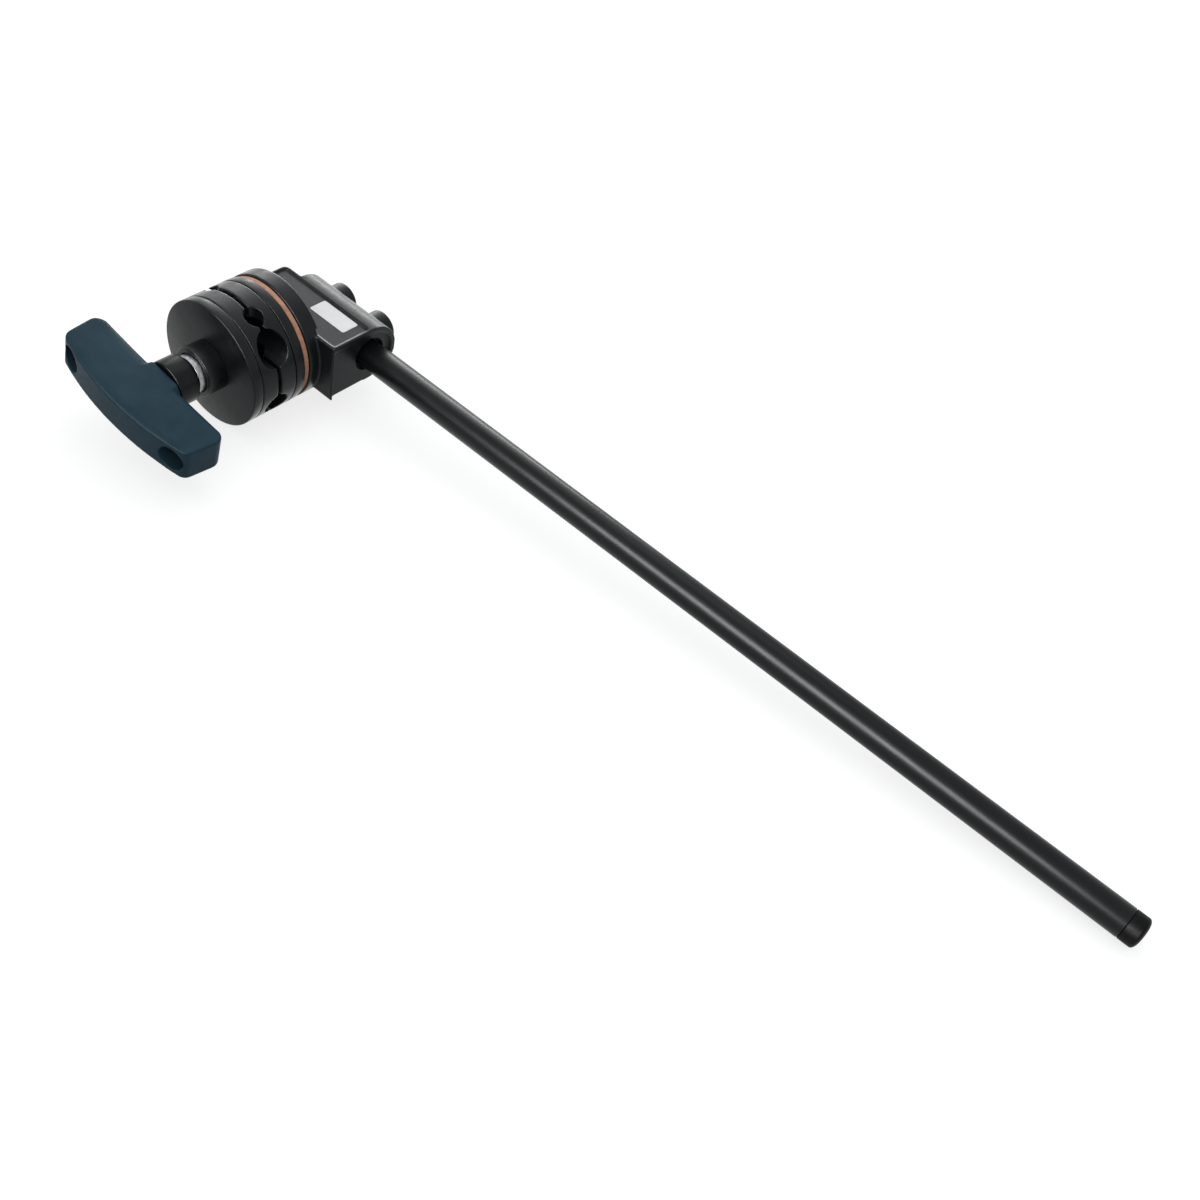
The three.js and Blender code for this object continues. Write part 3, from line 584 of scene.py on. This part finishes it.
def oiled_black(name):
    """Black oxide on steel: thin, slightly oily, brownish where it is thin at the corners"""
    oxide_dark, oxide_light, oxide_thin = (0.02, 0.02, 0.0216), (0.042, 0.042, 0.044), (0.2, 0.18, 0.16)
    material, tree, shader, place = finish_nodes(name)
    patches = speckle(tree, place, 380, 5, 0.65)
    shade = blended(tree, patches, oxide_dark, oxide_light)
    shade = edge_wear_and_sheen(tree, shade, 0.0003, 0.5, oxide_thin)
    tree.links.new(shade, shader.inputs["Base Color"])
    shader.inputs["Metallic"].default_value = 0.85
    uneven_gloss(tree, shader, patches, 0.3, 0.46)
    raised_by(tree, shader, speckle(tree, place, 2600, 3), 0.3, 0.00003)
    return material


screw_oxide = oiled_black("screw_oxide")
set_screw.data.materials.append(screw_oxide)
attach(set_screw, "arm")
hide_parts("rod_set_screw")


# The blank label
# A white vinyl sticker in the sunk panel on top of the block, with rounded corners and nothing
# printed on it.
label_low, label_high = (9.4, -12.9), (32.8, -2.9)
label_under, label_over, label_corner = 15.02, 15.14, 1.0
label_grey, label_white, label_smudge = (0.6, 0.61, 0.61), (0.7, 0.71, 0.71), (0.38, 0.38, 0.37)
label_shape = block((*label_low, label_under), (*label_high, label_over))
for corner in (label_low, label_high, (label_low[0], label_high[1]), (label_high[0], label_low[1])):
    softened(label_shape, label_corner, 5, upright(*corner))
label = made("blank_label", label_shape, arm_place)
label_vinyl, tree, shader, place = finish_nodes("label_vinyl")
shade = blended(tree, speckle(tree, place, 120, 4), label_grey, label_white)
smudges = spread(tree, speckle(tree, place, 700, 5, 0.7), 0.6, 0.75, 0, 0.35)
tree.links.new(blended(tree, smudges, shade, label_smudge), shader.inputs["Base Color"])
shader.inputs["Roughness"].default_value = 0.42
raised_by(tree, shader, speckle(tree, place, 900, 2), 0.2, 0.00004)
label.data.materials.append(label_vinyl)
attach(label, "arm")


# The friction ring
# A pressed fibre lining between the casting and the head, rust-orange, which lets the head turn
# and holds it once the bolt is tight. Its rim is ground, with fibres and dust showing.
ring_bore, ring_radius = 13, 30.95
ring_low, ring_high, ring_edge = -34.6, -31.9, 0.3
lining_dark, lining_light = (0.42, 0.19, 0.11), (0.60, 0.31, 0.19)
lining_fleck, lining_dust = (0.16, 0.085, 0.055), (0.66, 0.42, 0.29)
ring_shape = softened(sleeve(ring_bore, ring_radius, ring_low, ring_high, 192), ring_edge, 3)
friction = made("friction_lining_ring", ring_shape, head_place)
lining, tree, shader, place = finish_nodes("fibre_lining")
mottle = spread(tree, speckle(tree, place, 330, 5, 0.65), 0.34, 0.66, 0, 1)
shade = blended(tree, mottle, lining_dark, lining_light)
fibres = tree.nodes.new("ShaderNodeTexVoronoi")
fibres.inputs["Scale"].default_value = 1500
tree.links.new(place, fibres.inputs["Vector"])
flecks = spread(tree, fibres.outputs["Distance"], 0.0, 0.28, 0.55, 0)
shade = blended(tree, flecks, shade, lining_fleck)
dust = spread(tree, speckle(tree, place, 1900, 3, 0.7), 0.6, 0.7, 0, 0.45)
tree.links.new(blended(tree, dust, shade, lining_dust), shader.inputs["Base Color"])
shader.inputs["Roughness"].default_value = 0.78
shader.inputs["Specular IOR Level"].default_value = 0.3
raised_by(tree, shader, speckle(tree, place, 1600, 4, 0.7), 0.7, 0.00012)
friction.data.materials.append(lining)
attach(friction, "arm")
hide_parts("friction_ring")


# The rear plate and the rear jaw
# Two black-coated aluminium discs. The plate runs on the friction ring; the jaw carries half of
# each of four bores: two along the rod's way and two across it. Both are turned, the jaw milled.
plate_low, plate_high, joint_bevel = -40.0, -34.9, 0.35
screw_spots = ((0, 28), (0, -26.2))
plate_screw_hole, plate_screw_depth = 1.8, 3.5


def screw_holes(low, high):
    """The cutters for the holes of both jaw screws in a plate"""
    return [bar(plate_screw_hole, low, high, *spot, steps=32) for spot in screw_spots]


rear_plate_shape = softened(bar(head_radius, plate_low, plate_high, steps=224), joint_bevel, 3)
rear_plate_shape = machined(
    rear_plate_shape,
    cut=[
        bar(bolt_hole, plate_low - overrun, plate_high + overrun),
        *screw_holes(plate_low - overrun, plate_low + plate_screw_depth),
    ],
)
rear_plate = made("rear_plate_disc", rear_plate_shape, head_place)
disc_coat = black_coat("disc_coat", 1700)
rear_plate.data.materials.append(disc_coat)
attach(rear_plate, "rear_head")
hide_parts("rear_plate")

jaw_low, jaw_high, jaw_edge = -49.3, -40.3, 0.45
jaw_grain, jaw_wear = 0.36, 3
groove_place, groove_reach = -50.3, 40
long_grooves = ((8.0, 16.6), (6.35, -13.6))
cross_grooves = ((4.75, 13.6), (3.3, -15.6))
spring_seat, spring_seat_depth = 6.6, 6
dowel_hole, dowel_places = 2.5, (-25.3, 25.3)
screw_clear, screw_head_clear, screw_head_floor = 1.8, 3.0, 2.3


def grooved_jaw(low, high, face, inward):
    """A disc with its four half bores, bolt hole, spring seat, and pin and screw holes"""
    disc = softened(bar(head_radius, low, high, steps=224), jaw_edge)
    cutters = []
    for radius, height in long_grooves:
        groove = bar(radius, -groove_reach, groove_reach, steps=96, along_rod=True)
        cutters.append(moved(groove, 0, groove_place, height))
    for radius, place in cross_grooves:
        groove = turned(bar(radius, -groove_reach, groove_reach, steps=80), math.pi / 2, "X")
        cutters.append(moved(groove, place, groove_place, 0))
    cutters.append(bar(bolt_hole, low - overrun, high + overrun))
    mouth = face - overrun * inward
    cutters.append(bar(spring_seat, *sorted((mouth, face + spring_seat_depth * inward))))
    for x in dowel_places:
        cutters.append(bar(dowel_hole, low - overrun, high + overrun, x, steps=40))
    for spot in screw_spots:
        cutters.append(bar(screw_clear, low - overrun, high + overrun, *spot, steps=32))
        sinking = sorted((mouth, face + screw_head_floor * inward))
        cutters.append(bar(screw_head_clear, *sinking, *spot, steps=40))
    return cast_skin(machined(disc, cut=cutters), jaw_grain, jaw_wear)


rear_jaw = made("rear_jaw_disc", grooved_jaw(jaw_low, jaw_high, jaw_low, 1), head_place, 180)
rear_jaw.data.materials.append(disc_coat)
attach(rear_jaw, "rear_head")
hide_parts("rear_jaw")


# The dowels
# Two hardened and ground steel pins, pressed into the rear jaw; the front jaw slides on them,
# so that the halves of the bores stay in line.
dowel_radius, dowel_low, dowel_high, dowel_tip = 2.2, -62.6, -41.3, 0.5
dowel_silver = (0.58, 0.58, 0.59)
dowel_steel = bright_zinc("dowel_steel", dowel_silver)
for side, x in zip(("left", "right"), dowel_places):
    dowel_shape = softened(bar(dowel_radius, dowel_low, dowel_high, x, steps=48), dowel_tip, 3)
    dowel = made("dowel_" + side, dowel_shape, head_place)
    dowel.data.materials.append(dowel_steel)
    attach(dowel, "rear_head")
    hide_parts("dowel_pin_" + side)


# The jaw screws
# Four slotted cheese-head screws in black steel: each jaw is tied to its backing plate by two,
# sunk just below the face between the bores and the rim.
cheese_radius, cheese_height, cheese_edge = 2.7, 2, 0.22
stem_radius, slot_wide, slot_deep = 1.5, 0.9, 0.8


def jaw_screw(top, tip, inward, spot):
    """A cheese-head screw from its slotted top to its tip"""
    under = top + cheese_height * inward
    profile = [
        (0, top), (cheese_radius, top), (cheese_radius, under), (stem_radius, under), (stem_radius, tip),
        (0, tip),
    ]
    shape = softened(spun(profile, 48), cheese_edge, 2)
    slot_half = cheese_radius + spare
    slot = block((-slot_half, top - spare, -slot_wide / 2), (slot_half, top + spare, slot_wide / 2))
    shape = machined(shape, cut=[moved(slot, 0, (slot_deep - spare) * inward, 0)])
    return moved(shape, spot[0], 0, spot[1])


for body, node, top, tip, inward in (
    ("rear_head", "rear_jaw_screw_", -49.0, -36.8, 1),
    ("front_head", "front_jaw_screw_", -51.6, -63.8, -1),
):
    for height, spot in zip(("upper", "lower"), screw_spots):
        screw = made(node + height + "_cheese", jaw_screw(top, tip, inward, spot), head_place, 30)
        screw.data.materials.append(screw_oxide)
        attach(screw, body)
        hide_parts(node + height)


# The jaw spring
# A coil of bright spring wire round the bolt, seated in a pocket in each jaw. It parts the jaws
# as the T-handle is turned back, and spans from one jaw to the other.
wire_radius, wire_sides = 0.55, 16
coil_radius, coil_turns, coil_steps = 5.75, 5, 44
coil_low, coil_high = -56.45, -44.15
wire_silver = (0.5, 0.5, 0.51)
spring_shape = bmesh.new()
bmesh.ops.create_circle(spring_shape, cap_ends=False, segments=wire_sides, radius=wire_radius)
moved(spring_shape, coil_radius, coil_low, 0)
climb = (coil_high - coil_low) / (coil_turns * coil_steps)
bmesh.ops.spin(
    spring_shape, geom=spring_shape.verts[:] + spring_shape.edges[:], cent=(0, 0, 0), axis=(0, -1, 0),
    dvec=(0, climb, 0), angle=2 * math.pi * coil_turns, steps=coil_turns * coil_steps,
)
open_ends = [edge for edge in spring_shape.edges if edge.is_boundary]
bmesh.ops.holes_fill(spring_shape, edges=open_ends, sides=0)
bmesh.ops.recalc_face_normals(spring_shape, faces=spring_shape.faces)
spring = made("coil_spring", spring_shape, head_place)
spring.data.materials.append(bright_zinc("spring_wire", wire_silver, dull=0.05))
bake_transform(spring)
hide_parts("jaw_spring")


# The front jaw and the front plate
# The other half of the grip: a grooved jaw like the rear one, and a backing plate with a bevelled
# rim and a shallow round seat for the bearing collar. Same black coat.
front_jaw_low, front_jaw_high = -60.3, -51.3
front_jaw_shape = grooved_jaw(front_jaw_low, front_jaw_high, front_jaw_high, -1)
front_jaw = made("front_jaw_disc", front_jaw_shape, head_place, 180)
front_jaw.data.materials.append(disc_coat)
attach(front_jaw, "front_head")
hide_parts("front_jaw")

front_plate_low, front_plate_high, rim_chamfer = -65.9, -60.6, 0.7
collar_seat, collar_seat_depth = 8.8, 1.5
dowel_room_floor = -64.6
front_plate_shape = bar(head_radius, front_plate_low, front_plate_high, steps=224)
softened(front_plate_shape, rim_chamfer, 3, lambda edge, middle: middle.y < front_plate_low + touch)
softened(front_plate_shape, joint_bevel, 3, lambda edge, middle: middle.y > front_plate_high - touch)
plate_front, plate_back = front_plate_low - overrun, front_plate_high + overrun
front_plate_shape = machined(
    front_plate_shape,
    cut=[
        bar(bolt_hole, plate_front, plate_back),
        bar(collar_seat, plate_front, front_plate_low + collar_seat_depth),
        *screw_holes(front_plate_high - plate_screw_depth, plate_back),
        *[bar(dowel_hole, dowel_room_floor, plate_back, x, steps=40) for x in dowel_places],
    ],
)
front_plate = made("front_plate_disc", front_plate_shape, head_place)
front_plate.data.materials.append(disc_coat)
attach(front_plate, "front_head")
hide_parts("front_plate")


# The bearing collar
# A turned steel cup on the front plate that holds the thrust bearing, blackened, with a bright line
# round its mouth that is partly wear and partly a painted highlight. Its spigot centres it in the
# plate's seat.
collar_radius, collar_cup, collar_spigot = 12.4, 9.8, 8.5
collar_front, collar_floor, collar_back, spigot_back = -75.8, -68.0, -66.2, -64.7
mouth_edge, back_edge = 0.5, 0.25
collar_dark, collar_light, collar_worn_and_highlit_edge = (0.003, 0.004, 0.0045), (0.007, 0.009, 0.0098), (0.22, 0.22, 0.23)
collar_profile = [
    (bolt_hole, collar_floor), (collar_cup, collar_floor), (collar_cup, collar_front),
    (collar_radius, collar_front), (collar_radius, collar_back), (collar_spigot, collar_back),
    (collar_spigot, spigot_back), (bolt_hole, spigot_back),
]
collar_shape = spun(collar_profile, 144, ring=True)
softened(collar_shape, mouth_edge, 3, lambda edge, middle: middle.y < collar_front + touch)
softened(collar_shape, back_edge, 2, lambda edge, middle: middle.y > collar_back - touch)
collar = made("bearing_cup", collar_shape, head_place)
collar_black, tree, shader, place = finish_nodes("collar_black_oxide")
patches = speckle(tree, place, 300, 4, 0.6)
shade = blended(tree, patches, collar_dark, collar_light)
# Bright steel along the edges, the mouth most of all: partly wear, partly a painted highlight.
shade = edge_wear_and_sheen(tree, shade, 0.0004, 0.55, collar_worn_and_highlit_edge)
tree.links.new(shade, shader.inputs["Base Color"])
uneven_gloss(tree, shader, patches, 0.27, 0.4)
shader.inputs["Specular IOR Level"].default_value = 0.25
raised_by(tree, shader, speckle(tree, place, 2200, 3), 0.3, 0.00004)
collar.data.materials.append(collar_black)
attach(collar, "front_head")
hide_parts("bearing_collar")


# The thrust washers and bearing
# Bright turned washers on both sides of a needle cage, all loose on the bolt inside the collar.
# They let the T-handle turn while the head is under load. The front washer stands out of the cup.
washer_radius, washer_bore_edge = 9.5, 0.15
washer_silver = (0.40, 0.41, 0.43)
washer_zinc = bright_zinc("washer_zinc", washer_silver, tool_rings=True)
for name, low, high, washer_edge, node in (
    ("rear_washer", -69.7, -68.3, 0.15, "rear_thrust_washer"),
    ("front_washer", -79.3, -73.9, 0.5, "front_thrust_washer"),
):
    washer_shape = sleeve(bolt_hole, washer_radius, low, high, 128)
    softened(washer_shape, washer_edge, 3, lambda edge, middle: middle.xz.length > washer_radius - touch)
    softened(washer_shape, washer_bore_edge, 2, lambda edge, middle: middle.xz.length < bolt_hole + touch)
    washer = made(name, washer_shape, head_place)
    washer.data.materials.append(washer_zinc)
    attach(washer, "thrust_stack")
    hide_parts(node)

cage_bore, cage_radius = 5.35, 9.2
cage_low, cage_high, cage_edge = -73.6, -70.0, 0.12
cage_middle, cage_groove = (cage_low + cage_high) / 2, 0.61
cage_profile = [
    (cage_bore, cage_low), (cage_radius, cage_low), (cage_radius, cage_middle - cage_groove),
    (cage_radius - cage_groove, cage_middle), (cage_radius, cage_middle + cage_groove),
    (cage_radius, cage_high), (cage_bore, cage_high),
]
cage_shape = softened(spun(cage_profile, 112, ring=True), cage_edge, 2)
cage = made("needle_cage", cage_shape, head_place)
cage.data.materials.append(screw_oxide)
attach(cage, "thrust_stack")
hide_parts("thrust_bearing")


# The nut of the T-handle
# A threaded steel bush moulded into the T-handle, with a flange at its back that bears on the
# ferrule. Black oxide, as the screws.
nut_radius, nut_flange, nut_edge = 7.2, 8.5, 0.18
nut_low, nut_flange_low, nut_high = -104.6, -83.9, -79.6
nut_profile = [
    (bolt_hole, nut_low), (nut_radius, nut_low), (nut_radius, nut_flange_low),
    (nut_flange, nut_flange_low), (nut_flange, nut_high), (bolt_hole, nut_high),
]
nut_shape = softened(spun(nut_profile, 112, ring=True), nut_edge, 2)
nut = made("moulded_nut", nut_shape, head_place)
nut.data.materials.append(screw_oxide)
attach(nut, "handle")
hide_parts("handle_nut")


# The ferrule
# A glossy black moulded sleeve between the bearing and the T-handle, with rounded rims. It is
# thicker than the T-handle's hub, so it stands out above the hub's flat top and bottom.
ferrule_radius, ferrule_bore, ferrule_pocket = 11.8, 7.5, 8.8
ferrule_low, ferrule_pocket_low, ferrule_high, ferrule_edge = -91.7, -84.2, -80.9, 0.8
ferrule_dark, ferrule_light = (0.003, 0.0042, 0.0045), (0.0055, 0.0075, 0.008)
ferrule_profile = [
    (ferrule_bore, ferrule_low), (ferrule_radius, ferrule_low), (ferrule_radius, ferrule_high),
    (ferrule_pocket, ferrule_high), (ferrule_pocket, ferrule_pocket_low), (ferrule_bore, ferrule_pocket_low),
]
ferrule_shape = spun(ferrule_profile, 144, ring=True)
softened(ferrule_shape, ferrule_edge, 5, lambda edge, middle: middle.xz.length > ferrule_radius - touch)
ferrule = made("ferrule_sleeve", ferrule_shape, head_place)
ferrule_gloss, tree, shader, place = finish_nodes("ferrule_gloss")
shade = blended(tree, speckle(tree, place, 130, 3), ferrule_dark, ferrule_light)
tree.links.new(shade, shader.inputs["Base Color"])
shader.inputs["Specular IOR Level"].default_value = 0.14
hairlines = speckle(tree, place, 900, 5, 0.75)
tree.links.new(spread(tree, hairlines, 0.4, 0.75, 0.24, 0.34), shader.inputs["Roughness"])
raised_by(tree, shader, speckle(tree, place, 160, 2), 0.15, 0.00006)
ferrule.data.materials.append(ferrule_gloss)
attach(ferrule, "handle")
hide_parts("handle_ferrule")


# The T-handle
# A blue-grey nylon moulding with a fine spark-eroded grain: a bar with a soft ridge above and
# below, bulged in the middle, on a hub that flares out from the ferrule, and a well at each end.
handle_place = arm_place @ Matrix.Rotation(math.radians(8.5), 4, "Y")
bar_half, bar_height, bar_bulge = 44.5, 9, 6.4
bar_inner, bar_outer, end_slant = -93.8, -114.8, 1.4
inner_corner, outer_corner, edge_radius = 5.5, 3.2, 0.8
ridge_middle, ridge_end = 0.42, 0.78
# Half of the bar's section, from its inner to its outer side: the share of its depth (none where
# the ridge is), and the share of its height in the middle and at the ends.
section_shares = (
    (0, 0.78, 0.92), (0.07, 0.95, 1), (0.18, 1, 1), (None, 1, 1), (0.86, 0.97, 1), (0.95, 0.92, 0.98),
    (1, 0.82, 0.93),
)
end_steps, bar_steps = 12, 24
hub_back, hub_radius, hub_bevel, hub_nose_inset = -92.0, 12.5, 0.8, 10.5
flare_radius, flare_front, flare_share, flare_steps = 15.5, -101, 0.33, 8
hub_room_half, hub_room_front, hub_room_back = 40, -140, -60
nut_room, nut_room_low, bolt_room_low = 7.5, -104.9, -110.35
well_radius, well_spots, well_floor = 6.3, (-35, 35), -107.7
handle_grain, handle_wear = 0.42, 6
nylon_dark, nylon_light, nylon_rubbed = (0.0165, 0.041, 0.060), (0.0225, 0.053, 0.075), (0.06, 0.1, 0.13)


def drawn_back(radius, from_end):
    """How far a rounded corner draws back at a distance from the end"""
    return radius - math.sqrt(radius ** 2 - max(0, radius - from_end) ** 2)


def bar_section(shape, place):
    """One ring of the bar's skin at a place along it"""
    along = place / bar_half
    from_end = bar_half - abs(place)
    inner = bar_inner - drawn_back(inner_corner, from_end)
    outer = bar_outer + drawn_back(outer_corner, from_end) - bar_bulge * (1 - along * along)
    tall = bar_height - drawn_back(edge_radius, from_end)
    ridge = ridge_middle + (ridge_end - ridge_middle) * abs(along)
    upper = []
    for depth, middle_height, end_height in section_shares:
        height = middle_height + (end_height - middle_height) * along * along
        share = ridge if depth is None else depth
        upper.append(Vector((
            place - end_slant * along * share,
            inner + (outer - inner) * share,
            tall * height,
        )))
    lower = [Vector((point.x, point.y, -point.z)) for point in reversed(upper)]
    ring = [shape.verts.new(point) for point in upper + lower]
    return [shape.edges.new((ring[index - 1], ring[index])) for index in range(len(ring))]


handle_shape = bmesh.new()
end_places = [
    bar_half - inner_corner * (1 - math.cos(math.pi / 2 * step / end_steps))
    for step in range(end_steps + 1)
]
stations = [-place for place in end_places]
stations += [(bar_half - inner_corner) * (2 * step / bar_steps - 1) for step in range(1, bar_steps)]
stations += end_places[::-1]
rings = [bar_section(handle_shape, place) for place in stations]
for first, second in zip(rings, rings[1:]):
    bmesh.ops.bridge_loops(handle_shape, edges=first + second)
bmesh.ops.holes_fill(handle_shape, edges=rings[0] + rings[-1], sides=0)
bmesh.ops.recalc_face_normals(handle_shape, faces=handle_shape.faces)
hub_nose = bar_outer + hub_nose_inset
hub_profile = [(0, hub_nose), (bar_height, hub_nose), (flare_radius, flare_front)]
# The flare is a curve that leaves the widest place and runs out straight along the hub.
flare_widths = (flare_radius, hub_radius, hub_radius)
flare_backs = (flare_front, flare_front + (hub_back - flare_front) * flare_share, hub_back - hub_bevel)
for step in range(1, flare_steps + 1):
    share = step / flare_steps
    weights = ((1 - share) ** 2, 2 * share * (1 - share), share ** 2)
    hub_profile.append((
        sum(weight * width for weight, width in zip(weights, flare_widths)),
        sum(weight * back for weight, back in zip(weights, flare_backs)),
    ))
hub_profile += [(hub_radius - hub_bevel, hub_back), (0, hub_back)]
hub_room = block(
    (-hub_room_half, hub_room_front, -bar_height), (hub_room_half, hub_room_back, bar_height),
)
hub = machined(spun(hub_profile, 96), kept=[hub_room])
well_mouth = bar_outer - bar_bulge - overrun
handle_shape = machined(
    handle_shape,
    joined=[hub],
    cut=[bar(well_radius, well_mouth, well_floor, x, steps=64) for x in well_spots],
)
handle_shape = machined(
    cast_skin(handle_shape, handle_grain, handle_wear),
    cut=[
        bar(nut_room, nut_room_low, hub_back + overrun, steps=80),
        bar(bolt_hole, bolt_room_low, hub_back + overrun, steps=64),
    ],
)
handle = made("tee_handle", handle_shape, handle_place, 50)
handle_nylon, tree, shader, place = finish_nodes("handle_nylon")
clouds = spread(tree, speckle(tree, place, 55, 3), 0.35, 0.65, 0, 1)
shade = blended(tree, clouds, nylon_dark, nylon_light)
shade = edge_wear_and_sheen(tree, shade, 0.0007, 0.22, nylon_rubbed, 0.01, 0.3)
tree.links.new(shade, shader.inputs["Base Color"])
uneven_gloss(tree, shader, speckle(tree, place, 400, 4), 0.38, 0.5)
shader.inputs["Specular IOR Level"].default_value = 0.05
fine = raised_by(tree, shader, speckle(tree, place, 2000, 3, 0.65), 0.5, 0.00006)
raised_by(tree, shader, speckle(tree, place, 120, 2), 0.3, 0.0001, fine)
handle.data.materials.append(handle_nylon)
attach(handle, "handle")
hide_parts("t_handle")


# The floor, the world and the lamps
# A seamless white table that keeps the arm's soft shadow, even light from all round, a long strip
# lamp along the rod for its narrow highlight, and a soft lamp behind the head for the top edges.
paper_grey, paper_glow = 0.35, 0.77
room_tint, room_low, room_high = (0.97, 0.99, 1, 1), 0.3, 1.0
bpy.context.scene.view_settings.view_transform = "Standard"
floor_shape = bmesh.new()
bmesh.ops.create_grid(floor_shape, x_segments=1, y_segments=1, size=6)
floor = loose("floor", floor_shape)


def when_seen(tree):
    """1 where the camera, a reflection or clear material looks, and 0 for the light itself"""
    ray = tree.nodes.new("ShaderNodeLightPath")
    seen = ray.outputs["Is Camera Ray"]
    for other in ("Is Glossy Ray", "Is Transmission Ray"):
        either = tree.nodes.new("ShaderNodeMath")
        either.operation = "MAXIMUM"
        tree.links.new(seen, either.inputs[0])
        tree.links.new(ray.outputs[other], either.inputs[1])
        seen = either.outputs[0]
    return seen


paper = bpy.data.materials.new("white_paper")
paper.use_nodes = True
tree = paper.node_tree
tree.nodes.clear()
matt = tree.nodes.new("ShaderNodeBsdfDiffuse")
matt.inputs["Color"].default_value = (paper_grey, paper_grey, paper_grey, 1)
glow = tree.nodes.new("ShaderNodeEmission")
tree.links.new(spread(tree, when_seen(tree), 0, 1, 0, paper_glow), glow.inputs["Strength"])
sheet = tree.nodes.new("ShaderNodeAddShader")
tree.links.new(matt.outputs[0], sheet.inputs[0])
tree.links.new(glow.outputs[0], sheet.inputs[1])
tree.links.new(sheet.outputs[0], tree.nodes.new("ShaderNodeOutputMaterial").inputs["Surface"])
floor.data.materials.append(paper)

world = bpy.data.worlds.new("room")
world.use_nodes = True
tree = world.node_tree
tree.nodes.clear()
height = tree.nodes.new("ShaderNodeSeparateXYZ")
tree.links.new(tree.nodes.new("ShaderNodeTexCoord").outputs["Generated"], height.inputs["Vector"])
room_light = tree.nodes.new("ShaderNodeBackground")
room_light.inputs["Color"].default_value = room_tint
tree.links.new(spread(tree, height.outputs["Z"], 0, 1, room_low, room_high), room_light.inputs["Strength"])
room_seen = tree.nodes.new("ShaderNodeBackground")
room_seen.inputs["Color"].default_value = (1, 1, 1, 1)
room_seen.inputs["Strength"].default_value = 1.0
pick = tree.nodes.new("ShaderNodeMixShader")
tree.links.new(when_seen(tree), pick.inputs["Fac"])
tree.links.new(room_light.outputs[0], pick.inputs[1])
tree.links.new(room_seen.outputs[0], pick.inputs[2])
tree.links.new(pick.outputs[0], tree.nodes.new("ShaderNodeOutputWorld").inputs["Surface"])
bpy.context.scene.world = world


def soft_lamp(name, spot, aim, wide, deep, brightness, only_sheen=False):
    """A rectangular soft lamp; its power follows from its size, so that it looks this bright"""
    data = bpy.data.lights.new(name, "AREA")
    data.shape = "RECTANGLE"
    data.size = wide
    data.size_y = deep
    data.energy = brightness * math.pi * wide * deep
    lamp = bpy.data.objects.new(name, data)
    ahead = (Vector(aim) - Vector(spot)).normalized()
    lamp.matrix_world = Matrix.Translation(spot) @ ahead.to_track_quat("-Z", "Y").to_matrix().to_4x4()
    lamp.visible_diffuse = not only_sheen
    bpy.context.scene.collection.objects.link(lamp)


soft_lamp("strip_lamp", (0.0, -0.83, 0.64), (0.0, 0.05, 0.03), 1.3, 0.42, 25, True)
soft_lamp("back_lamp", (-0.894, 0.971, 0.403), (-0.2, 0.06, 0.045), 0.9, 0.32, 9.5, True)
soft_lamp("far_lamp", (-0.87, 0.72, 0.76), (-0.2, 0.05, 0.03), 0.8, 0.5, 2.6, True)
soft_lamp("top_lamp", (-0.3, 0.5, 1.2), (-0.1, 0.05, 0.0), 0.9, 0.7, 1.0)
